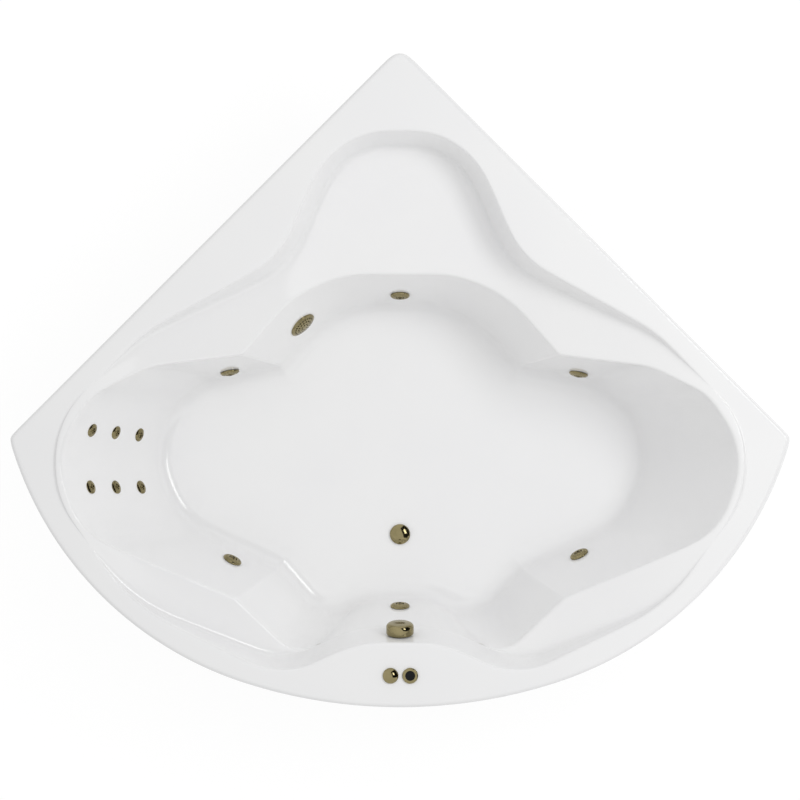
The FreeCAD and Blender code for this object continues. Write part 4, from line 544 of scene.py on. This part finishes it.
holes = [(seat, JET_HOLE) for seat in jet_seats.values()]
holes += [(seat, BACK_HOLE) for seat in back_seats.values()]
holes += [(SUCTION, SUCTION_HOLE), (overflow_seat, OVERFLOW_HOLE)]
holes += [((Vector((x, y, DECK)), UP), CONTROL_HOLE) for x, y in DECK_CONTROLS]
old_skin = BVHTree.FromBMesh(skin)
removed = [punch(skin, old_skin, seat[0], seat[1], radius) for seat, radius in holes]
print("holes:", len(holes), "faces removed:", removed)

# %% [markdown]
# A Solidify modifier gives the sheet its thickness: about 8 mm of acrylic with glass fibre sprayed on its back. The
# back takes the second finish. Edges round the holes stay sharp, so that the shading doesn't smear there.

# %% Give the skin its thickness
SHEET = 0.0078
for edge in skin.edges:
    edge.smooth = not edge.is_boundary
shell = finish_mesh(skin, "acrylic_shell")
wall = shell.modifiers.new("sheet", "SOLIDIFY")
wall.thickness = SHEET
wall.offset = -1.0
wall.use_even_offset = False
wall.material_offset = 1
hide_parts("bath_shell")
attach(shell, "bath")
print("shell verts:", len(shell.data.vertices))

# %% [markdown]
# ## Finishes
# No real surface is one flat colour: acrylic, pipe and plate all vary a little in tone and gloss. Two effects that
# several finishes share are node groups, built once: a soft mottle for colour and gloss, and crossing strands for
# the bump of glass mat or board. The shaders stay in each material, with their own constant values.

# %% Shared effects
def new_group(name, inputs, outputs):
    group = bpy.data.node_groups.new(name, "ShaderNodeTree")
    for label, value in inputs:
        socket = group.interface.new_socket(label, in_out="INPUT", socket_type="NodeSocketFloat")
        socket.default_value = value
    for label, kind in outputs:
        group.interface.new_socket(label, in_out="OUTPUT", socket_type=kind)
    entry = group.nodes.new("NodeGroupInput")
    leave = group.nodes.new("NodeGroupOutput")
    return group, entry, leave


def mottle_group():
    group, entry, leave = new_group("mottle", [("Size", 40.0), ("Detail", 4.0), ("Low", 0.4), ("High", 0.6)],
                                    [("Mask", "NodeSocketFloat")])
    where = group.nodes.new("ShaderNodeTexCoord")
    noise = group.nodes.new("ShaderNodeTexNoise")
    spread = group.nodes.new("ShaderNodeMapRange")
    group.links.new(where.outputs["Object"], noise.inputs["Vector"])
    group.links.new(entry.outputs["Size"], noise.inputs["Scale"])
    group.links.new(entry.outputs["Detail"], noise.inputs["Detail"])
    group.links.new(noise.outputs["Fac"], spread.inputs["Value"])
    group.links.new(entry.outputs["Low"], spread.inputs["From Min"])
    group.links.new(entry.outputs["High"], spread.inputs["From Max"])
    group.links.new(spread.outputs["Result"], leave.inputs["Mask"])
    return group


def strand_group():
    """Crossing fibres, as in chopped glass mat or brushed metal."""
    group, entry, leave = new_group("strands", [("Size", 60.0), ("Stretch", 12.0)],
                                    [("Mask", "NodeSocketFloat")])
    where = group.nodes.new("ShaderNodeTexCoord")
    pair = []
    for turn in (0.5, 2.1):
        place = group.nodes.new("ShaderNodeMapping")
        place.inputs["Rotation"].default_value = (turn * 0.6, turn, turn * 1.7)
        stretch = group.nodes.new("ShaderNodeCombineXYZ")
        stretch.inputs["Y"].default_value = 1.0
        stretch.inputs["Z"].default_value = 1.0
        noise = group.nodes.new("ShaderNodeTexNoise")
        noise.inputs["Detail"].default_value = 3.0
        group.links.new(entry.outputs["Stretch"], stretch.inputs["X"])
        group.links.new(stretch.outputs["Vector"], place.inputs["Scale"])
        group.links.new(where.outputs["Object"], place.inputs["Vector"])
        group.links.new(place.outputs["Vector"], noise.inputs["Vector"])
        group.links.new(entry.outputs["Size"], noise.inputs["Scale"])
        pair.append(noise)
    larger = group.nodes.new("ShaderNodeMath")
    larger.operation = "MAXIMUM"
    group.links.new(pair[0].outputs["Fac"], larger.inputs[0])
    group.links.new(pair[1].outputs["Fac"], larger.inputs[1])
    group.links.new(larger.outputs["Value"], leave.inputs["Mask"])
    return group


MOTTLE = mottle_group()
STRANDS = strand_group()
print("effects:", MOTTLE.name, STRANDS.name)

# %% [markdown]
# A finish is a Principled shader with a light and a dark colour that a mottle mixes, a roughness that the same
# mottle moves a little, and a fine bump. The numbers come from what the real material looks like close up: clean
# glossy acrylic, a rough fibre back, and old brass that is dark and still bright where it mirrors a lamp.

# %% Make a finish
def finish(name, light, dark, metallic=0.0, rough=(0.3, 0.4), mottle=(40.0, 4.0, 0.35, 0.65), bump=(0.0, 0.0),
           grain=None, coat=0.0, specular=0.5):
    """A material from two colours, a range of roughness, a mottle and a bump of grain or mottle."""
    material = bpy.data.materials.new(name)
    material.use_nodes = True
    tree = material.node_tree
    shader = tree.nodes["Principled BSDF"]
    shader.inputs["Metallic"].default_value = metallic
    shader.inputs["Coat Weight"].default_value = coat
    shader.inputs["Coat Roughness"].default_value = 0.06
    shader.inputs["Specular IOR Level"].default_value = specular
    spots = tree.nodes.new("ShaderNodeGroup")
    spots.node_tree = MOTTLE
    for label, value in zip(("Size", "Detail", "Low", "High"), mottle):
        spots.inputs[label].default_value = value
    colour = tree.nodes.new("ShaderNodeMix")
    colour.data_type = "RGBA"
    colour.inputs[6].default_value = (*light, 1.0)
    colour.inputs[7].default_value = (*dark, 1.0)
    tree.links.new(spots.outputs["Mask"], colour.inputs["Factor"])
    tree.links.new(colour.outputs[2], shader.inputs["Base Color"])
    gloss = tree.nodes.new("ShaderNodeMapRange")
    gloss.inputs["To Min"].default_value = rough[0]
    gloss.inputs["To Max"].default_value = rough[1]
    tree.links.new(spots.outputs["Mask"], gloss.inputs["Value"])
    tree.links.new(gloss.outputs["Result"], shader.inputs["Roughness"])
    if bump[0]:
        surface = tree.nodes.new("ShaderNodeBump")
        surface.inputs["Strength"].default_value = bump[0]
        surface.inputs["Distance"].default_value = bump[1]
        fine = tree.nodes.new("ShaderNodeGroup")
        fine.node_tree = STRANDS if grain else MOTTLE
        if grain:
            fine.inputs["Size"].default_value = grain[0]
            fine.inputs["Stretch"].default_value = grain[1]
        else:
            fine.inputs["Size"].default_value = mottle[0] * 4
        tree.links.new(fine.outputs["Mask"], surface.inputs["Height"])
        tree.links.new(surface.outputs["Normal"], shader.inputs["Normal"])
    return material


acrylic = finish("white_acrylic", (0.965, 0.965, 0.965), (0.95, 0.95, 0.955), rough=(0.12, 0.16),
                 mottle=(3.0, 2.0, 0.35, 0.65), coat=0.3)
backing = finish("glass_fibre", (0.62, 0.60, 0.53), (0.44, 0.42, 0.36), rough=(0.45, 0.7),
                 mottle=(18.0, 6.0, 0.35, 0.65), bump=(0.6, 0.003), grain=(26.0, 9.0))
brass = finish("antique_brass", (0.315, 0.268, 0.143), (0.23, 0.195, 0.098), metallic=1.0, rough=(0.07, 0.16),
               mottle=(30.0, 5.0, 0.35, 0.7))
shell.data.materials.append(acrylic)
shell.data.materials.append(backing)
print("finishes:", [m.name for m in (acrylic, backing, brass)])

# %% [markdown]
# Pipes, pump and cradle hide under the deck and get what such pieces are made of: white and grey pipe, soft vinyl,
# moulded plastic, rubber, painted and galvanised steel, and particle board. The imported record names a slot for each
# node, so one table of slots paints them all.

# %% Finishes for the hidden pieces
white_pipe = finish("white_pipe", (0.78, 0.78, 0.76), (0.70, 0.70, 0.67), rough=(0.28, 0.42),
                    mottle=(14.0, 4.0, 0.4, 0.7), bump=(0.1, 0.0005))
grey_pipe = finish("grey_pipe", (0.36, 0.38, 0.40), (0.30, 0.32, 0.34), rough=(0.32, 0.45),
                   mottle=(16.0, 4.0, 0.4, 0.7), bump=(0.1, 0.0005))
clear_tube = finish("soft_vinyl", (0.55, 0.62, 0.67), (0.46, 0.54, 0.60), rough=(0.15, 0.28),
                    mottle=(60.0, 3.0, 0.35, 0.65), coat=0.4)
moulded = finish("moulded_fitting", (0.66, 0.66, 0.63), (0.58, 0.58, 0.55), rough=(0.35, 0.5),
                 mottle=(50.0, 4.0, 0.35, 0.65), bump=(0.15, 0.0004))
black_plastic = finish("black_plastic", (0.030, 0.030, 0.032), (0.018, 0.018, 0.020), rough=(0.35, 0.55),
                       mottle=(70.0, 5.0, 0.35, 0.65), bump=(0.25, 0.0004))
rubber = finish("black_rubber", (0.028, 0.027, 0.026), (0.016, 0.016, 0.016), rough=(0.65, 0.85),
                mottle=(90.0, 5.0, 0.35, 0.65), bump=(0.2, 0.0004))
motor_paint = finish("motor_paint", (0.10, 0.13, 0.18), (0.07, 0.09, 0.13), rough=(0.35, 0.5),
                     mottle=(120.0, 4.0, 0.35, 0.65), bump=(0.4, 0.0005), coat=0.2)
galvanised = finish("galvanised_steel", (0.48, 0.50, 0.52), (0.34, 0.36, 0.38), metallic=0.9, rough=(0.32, 0.52),
                    mottle=(55.0, 1.0, 0.42, 0.58), bump=(0.08, 0.0003))
zinc = finish("zinc_plate", (0.60, 0.59, 0.54), (0.50, 0.48, 0.42), metallic=1.0, rough=(0.25, 0.4),
              mottle=(80.0, 3.0, 0.35, 0.65), bump=(0.2, 0.0003), grain=(160.0, 18.0))
board = finish("particle_board", (0.42, 0.29, 0.155), (0.27, 0.175, 0.085), rough=(0.7, 0.9),
               mottle=(130.0, 6.0, 0.35, 0.65), bump=(0.5, 0.001), grain=(90.0, 3.0))
slot_finish = {"acrylic": acrylic, "brass": brass, "fitting_plastic": moulded, "white_pipe": white_pipe,
               "grey_pipe": grey_pipe, "clear_tube": clear_tube, "black_plastic": black_plastic,
               "black_rubber": rubber, "motor_metal": motor_paint, "steel": galvanised, "zinc": zinc,
               "board": board}
satin_black = finish("satin_black", (0.012, 0.012, 0.013), (0.008, 0.008, 0.009), rough=(0.2, 0.3),
                     mottle=(70.0, 4.0, 0.35, 0.65), bump=(0.1, 0.0003), specular=0.1)

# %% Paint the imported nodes
for entry in frame["record"]["subparts"]:
    mesh = nodes[entry["node"]].data
    mesh.materials.clear()
    mesh.materials.append(slot_finish[entry["material_slot"]])
nodes["air_switch_button"].data.materials[0] = satin_black

# %% [markdown]
# ## Turned fittings
# The overflow knob, the jet rings, the pipe sleeves and the foot shoes are round on the lathe or in the mould.
# A cylinder with bevels comes close, but a spun profile has every step and hollow that a turned piece has. Each is
# a closed profile of radius and height with small rounds at its corners. It grows point by point from one vert,
# and one full spin makes the rest.

# %% Spin a profile
def turned(corners, place, axis, steps=72):
    """Spins a closed profile of (radius, height, round) round an axis that starts at a place."""
    points = outline([np.array(corner) for corner in corners], [(5, 1)] * len(corners))
    bm = bmesh.new()
    first = bmesh.ops.create_vert(bm, co=(points[0][0], 0, points[0][1]))["vert"][0]
    last = first
    for radius, height in points[1:]:
        last = bmesh.ops.extrude_vert_indiv(bm, verts=[last])["verts"][0]
        last.co = (radius, 0, height)
    bmesh.ops.contextual_create(bm, geom=[last, first])
    bmesh.ops.spin(bm, geom=bm.verts[:] + bm.edges[:], cent=(0, 0, 0), axis=(0, 0, 1), angle=2 * math.pi,
                   steps=steps, use_merge=True)
    bmesh.ops.remove_doubles(bm, verts=bm.verts, dist=0.000002)
    bmesh.ops.dissolve_degenerate(bm, edges=bm.edges, dist=0.000001)
    bmesh.ops.recalc_face_normals(bm, faces=bm.faces)
    seat = Matrix.Translation(place) @ axis.to_track_quat("Z", "X").to_matrix().to_4x4()
    return bm, seat


def add_piece(bm, seat, name, body, slot, node=None):
    """Moves a mesh to its seat and makes it a piece that rides on a body."""
    bmesh.ops.transform(bm, matrix=seat, verts=bm.verts)
    piece = finish_mesh(bm, name)
    piece.data.materials.append(slot_finish[slot])
    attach(piece, body)
    if node:
        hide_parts(node)
    return piece


print("profiles can be turned and seated")

# %% [markdown]
# The overflow's knob is a brass drum on the front wall. Turning it lifts the stopper. It is hollow behind, so that
# it clears the spigot that it turns on.

# %% Overflow drum
KNOB = [(0.0300, 0.0014, 0.001), (0.0384, 0.0014, 0.006), (0.0384, 0.0336, 0.011), (0, 0.0342, 0),
        (0, 0.0302, 0), (0.0300, 0.0302, 0.004)]
bm, seat = turned(KNOB, *overflow_seat, steps=96)
knob = add_piece(bm, seat, "overflow_drum", "overflow_knob", "brass", "overflow_knob")
print("knob faces:", len(knob.data.polygons))

# %% [markdown]
# A jet's ring is a shallow dome with a mouth for the nozzle. Its crown carries short grip ribs. They could be small
# separate blocks, but then the ring wouldn't be one closed piece: after the spin, two verts out of every four spokes
# are pressed in a little, which leaves a rib between two grooves.

# %% Ribbed jet rings
JET_RING = [(0.0144, -0.004, 0), (0.0186, -0.004, 0), (0.0186, 0.0046, 0), (0.0253, 0.0046, 0),
            (0.0253, 0.0012, 0), (0.0269, 0.0012, 0.0004), (0.0269, 0.0050, 0.0015), (0.0238, 0.0070, 0.001),
            (0.0226, 0.0076, 0), (0.0168, 0.0095, 0), (0.0155, 0.0098, 0.001), (0.0132, 0.0100, 0.001),
            (0.0114, 0.0090, 0.001), (0.0115, 0.0070, 0), (0.0132, 0.0040, 0), (0.0143, 0.0005, 0)]
GROOVE = 0.0009
RIB_INNER, RIB_OUTER, RIB_LEVEL = 0.0160, 0.0230, 0.006
RING_SPOKES = 96

for body, (place, axis) in jet_seats.items():
    bm, seat = turned(JET_RING, place, axis, steps=RING_SPOKES)
    for vert in bm.verts:
        far = math.hypot(vert.co.x, vert.co.y)
        spoke = round(math.atan2(vert.co.y, vert.co.x) / (2 * math.pi) * RING_SPOKES) % 4
        if RIB_INNER < far < RIB_OUTER and vert.co.z > RIB_LEVEL and spoke in (0, 1):
            vert.co.z -= GROOVE
    node = body.replace("ring", "face")
    ring_piece = add_piece(bm, seat, "ribbed_" + node, body, "brass", node)
print("jet rings:", len(jet_seats), "faces each:", len(ring_piece.data.polygons))

# %% [markdown]
# ## Pipes, motor and cradle
# Behind the wall, a moulded tee joins every jet to the water ring. A sleeve with a collar at each end shows where
# the pipe goes in. The ring keeps one height and passes straight behind each jet, so a jet's axis gives the tee's
# place, and the level line along the wall gives its direction.

# %% Tee sleeves on the water ring
RING_HEIGHT = 0.221
SLEEVE = [(0.0241, -0.046, 0), (0.0292, -0.046, 0.0015), (0.0292, -0.030, 0.002), (0.0272, -0.026, 0.002),
          (0.0272, 0.026, 0.002), (0.0292, 0.030, 0.002), (0.0292, 0.046, 0.0015), (0.0241, 0.046, 0)]

for body, (place, axis) in jet_seats.items():
    middle = place - axis * ((place.z - RING_HEIGHT) / axis.z)
    level = Vector((-axis.y, axis.x, 0)).normalized()
    bm, seat = turned(SLEEVE, middle, level, steps=48)
    add_piece(bm, seat, body.replace("ring", "tee"), "bath", "fitting_plastic")
print("tees:", len(jet_seats))

# %% [markdown]
# The pump's motor is a cast tube with cooling fins along it. Separate fins could be set on a tube, but one skin is
# closed and needs few faces: a circle of verts is pulled along the shaft, and the verts of each fin stand further
# out than those of the gap beside it.

# %% Finned motor
MOTOR_MIDDLE = Vector((0, 0.500, 0.269))
FINS = 40
MOTOR_RINGS = [(-0.1150, 0.0464, 0.0464), (-0.1150, 0.0600, 0.0600), (-0.1145, 0.0640, 0.0640),
               (-0.1125, 0.0660, 0.0660), (-0.0950, 0.0660, 0.0660), (-0.0945, 0.0620, 0.0685),
               (-0.0900, 0.0620, 0.0698),
               (0.0720, 0.0620, 0.0698), (0.0770, 0.0620, 0.0685), (0.0775, 0.0660, 0.0660),
               (0.0975, 0.0660, 0.0660), (0.0995, 0.0640, 0.0640), (0.1000, 0.0600, 0.0600),
               (0.1000, 0.0464, 0.0464)]


def motor_ring(x, gap, fin):
    """A ring of places round the shaft: two on a fin, two in the gap beside it."""
    places = []
    for step in range(FINS * 4):
        turn = 2 * math.pi * (step + 0.5) / (FINS * 4)
        far = fin if step % 4 < 2 else gap
        places.append(MOTOR_MIDDLE + Vector((x, far * math.cos(turn), far * math.sin(turn))))
    return places


bm = bmesh.new()
ring = bmesh.ops.create_circle(bm, segments=FINS * 4, radius=0.02)["verts"]
for vert, place in zip(ring, motor_ring(*MOTOR_RINGS[0])):
    vert.co = place
for sizes in MOTOR_RINGS[1:]:
    ring = extrude_ring(bm, ring, motor_ring(*sizes))
bmesh.ops.bridge_loops(bm, edges=[edge for edge in bm.edges if edge.is_boundary])
bmesh.ops.recalc_face_normals(bm, faces=bm.faces)
motor = add_piece(bm, Matrix(), "finned_motor", "bath", "motor_metal", "motor_housing")
motor.data.polygons.foreach_set("use_smooth", [False] * len(motor.data.polygons))
print("motor faces:", len(motor.data.polygons))

# %% [markdown]
# Black plugs close the open ends of the rails, and rubber shoes cover the steel pads of the feet. A plug is pressed
# in, so only its cap shows: a block with its edges rolled over and its outer face set in. A shoe is a spun ring with
# a lip that grips the pad.

# %% Rail plugs
PLUG = (0.0300, 0.0300, 0.0034)
PLUG_STAND = 0.0018
PLUG_ROUND = 0.0011
PLUG_BORDER = 0.004
PLUG_SINK = -0.0008


def rail_plug(name, place, out):
    bm = bmesh.new()
    bmesh.ops.create_cube(bm, size=1.0)
    bmesh.ops.scale(bm, vec=PLUG, verts=bm.verts)
    bmesh.ops.translate(bm, vec=(0, 0, PLUG_STAND), verts=bm.verts)
    bmesh.ops.bevel(bm, geom=bm.edges[:], offset=PLUG_ROUND, affect="EDGES", segments=2, profile=0.5, material=-1)
    face = max(bm.faces, key=lambda one: (one.calc_center_median().z, one.calc_area()))
    bmesh.ops.inset_region(bm, faces=[face], thickness=PLUG_BORDER, depth=PLUG_SINK)
    seat = Matrix.Translation(place) @ out.to_track_quat("Z", "Y").to_matrix().to_4x4()
    add_piece(bm, seat, name, "bath", "black_plastic")


print("plug:", PLUG)

# %% Plugs and shoes in place
CROSS_RAILS = {"front": (-0.835, 0.250), "middle": (-0.167, 1.025), "rear": (0.560, 0.318)}
CROSS_HEIGHT = 0.065
LONG_RAIL_X = 0.230
LONG_HEIGHT = 0.095
LONG_ENDS = {"front": (-0.850, -1), "back": (0.575, 1)}
SHOE = [(0.0235, 0.0003, 0), (0.0252, 0.0003, 0.0005), (0.0252, 0.0080, 0.0012), (0.0242, 0.0104, 0.0004),
        (0.0235, 0.0080, 0)]
FEET = [(0.955, -0.167), (0.330, -0.167), (0.190, -0.835), (0.190, 0.560)]

for side, label in ((-1, "left"), (1, "right")):
    for name, (y, reach_x) in CROSS_RAILS.items():
        place = Vector((side * reach_x, y, CROSS_HEIGHT))
        rail_plug("plug_%s_%s" % (name, label), place, Vector((side, 0, 0)))
    for name, (y, toward) in LONG_ENDS.items():
        place = Vector((side * LONG_RAIL_X, y, LONG_HEIGHT))
        rail_plug("plug_long_%s_%s" % (name, label), place, Vector((0, toward, 0)))
    for step, (x, y) in enumerate(FEET):
        bm, seat = turned(SHOE, Vector((side * x, y, 0)), UP, steps=48)
        add_piece(bm, seat, "shoe_%d_%s" % (step + 1, label), "bath", "black_rubber")
print("plugs:", 2 * len(CROSS_RAILS) + 2 * len(LONG_ENDS), "shoes:", 2 * len(FEET))

# %% [markdown]
# ## Light
# The picture is a plain studio shot: a bright room all round and soft light from high on the right. One large
# lamp lights the bath evenly, and a narrower one beside it draws the bright lines along the rounded walls. White
# acrylic in a white room would show no form at all, so a dark card stands behind the lamps, where only the gloss
# sees it. The floor and the room are white to the camera and to reflections, and the floor keeps a soft shadow.

# %% Bright room
ROOM_LIGHT = 0.65


def seen_by_viewer(tree):
    """A mask for camera, mirror and glass rays."""
    path = tree.nodes.new("ShaderNodeLightPath")
    seen = None
    for label in ("Is Camera Ray", "Is Glossy Ray", "Is Transmission Ray"):
        if seen is None:
            seen = path.outputs[label]
            continue
        either = tree.nodes.new("ShaderNodeMath")
        either.operation = "MAXIMUM"
        tree.links.new(seen, either.inputs[0])
        tree.links.new(path.outputs[label], either.inputs[1])
        seen = either.outputs["Value"]
    return seen


room = bpy.data.worlds.new("studio_room")
room.use_nodes = True
scene.world = room
tree = room.node_tree
plain = tree.nodes["Background"]
plain.inputs["Color"].default_value = (1, 1, 1, 1)
plain.inputs["Strength"].default_value = ROOM_LIGHT
bright = tree.nodes.new("ShaderNodeBackground")
bright.inputs["Color"].default_value = (1, 1, 1, 1)
bright.inputs["Strength"].default_value = 1.0
blend = tree.nodes.new("ShaderNodeMixShader")
tree.links.new(seen_by_viewer(tree), blend.inputs["Fac"])
tree.links.new(plain.outputs["Background"], blend.inputs[1])
tree.links.new(bright.outputs["Background"], blend.inputs[2])
tree.links.new(blend.outputs["Shader"], tree.nodes["World Output"].inputs["Surface"])
print("room light:", ROOM_LIGHT)

# %% Pale floor
FLOOR_HALF = 12.0
FLOOR_GLOW = 1.085
GLOW_SHARE = 0.85

ground = bmesh.new()
bmesh.ops.create_grid(ground, x_segments=1, y_segments=1, size=FLOOR_HALF)
floor = finish_mesh(ground, "studio_floor", smooth=False)
floor_paint = bpy.data.materials.new("pale_floor")
floor_paint.use_nodes = True
tree = floor_paint.node_tree
matt = tree.nodes["Principled BSDF"]
matt.inputs["Base Color"].default_value = (0.8, 0.8, 0.8, 1)
matt.inputs["Roughness"].default_value = 0.9
glow = tree.nodes.new("ShaderNodeEmission")
glow.inputs["Strength"].default_value = FLOOR_GLOW
blend = tree.nodes.new("ShaderNodeMixShader")
share = tree.nodes.new("ShaderNodeMath")
share.operation = "MULTIPLY"
share.inputs[1].default_value = GLOW_SHARE
tree.links.new(seen_by_viewer(tree), share.inputs[0])
tree.links.new(share.outputs["Value"], blend.inputs["Fac"])
tree.links.new(matt.outputs["BSDF"], blend.inputs[1])
tree.links.new(glow.outputs["Emission"], blend.inputs[2])
tree.links.new(blend.outputs["Shader"], tree.nodes["Material Output"].inputs["Surface"])
floor.data.materials.append(floor_paint)
floor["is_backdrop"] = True
print("floor:", 2 * FLOOR_HALF, "m wide")

# %% Soft lamps
LIT_MIDDLE = Vector((0, -0.1, 0.4))


def soft_lamp(name, place, size, power):
    data = bpy.data.lights.new(name, "AREA")
    data.shape = "RECTANGLE"
    data.size, data.size_y = size
    data.energy = power
    lamp = bpy.data.objects.new(name, data)
    lamp.location = place
    lamp.rotation_euler = (LIT_MIDDLE - Vector(place)).to_track_quat("-Z", "Y").to_euler()
    scene.collection.objects.link(lamp)
    return lamp


key = soft_lamp("key_softbox", (2.0, 0.4, 5.0), (3.2, 3.2), 24)
key.visible_glossy = False
soft_lamp("spark_softbox", (2.9, 1.1, 4.3), (2.6, 1.2), 44)

# %% Dark card
CARD_HALF = 6.0
CARD_PLACE = Vector((5.6, 1.9, 4.1))

flag = bmesh.new()
bmesh.ops.create_grid(flag, x_segments=1, y_segments=1, size=CARD_HALF)
aim = (LIT_MIDDLE - CARD_PLACE).to_track_quat("-Z", "Y").to_matrix().to_4x4()
bmesh.ops.transform(flag, matrix=Matrix.Translation(CARD_PLACE) @ aim, verts=flag.verts)
card = finish_mesh(flag, "black_card", smooth=False)
card_paint = bpy.data.materials.new("black_felt")
card_paint.use_nodes = True
felt = card_paint.node_tree.nodes["Principled BSDF"]
felt.inputs["Base Color"].default_value = (0.01, 0.01, 0.01, 1)
felt.inputs["Roughness"].default_value = 1.0
card.data.materials.append(card_paint)
card.visible_camera = False
card.visible_diffuse = False
card.visible_shadow = False
card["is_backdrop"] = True
print("card:", 2 * CARD_HALF, "m wide")

# %% [markdown]
# ## Measure
# The box round every piece that shows, floor and card left out, is printed. The dressed bath must not be
# larger than the imported one.

# %% Measure and finish
low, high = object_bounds()
print("visual box:", [round(v, 4) for v in (*low, *high)])
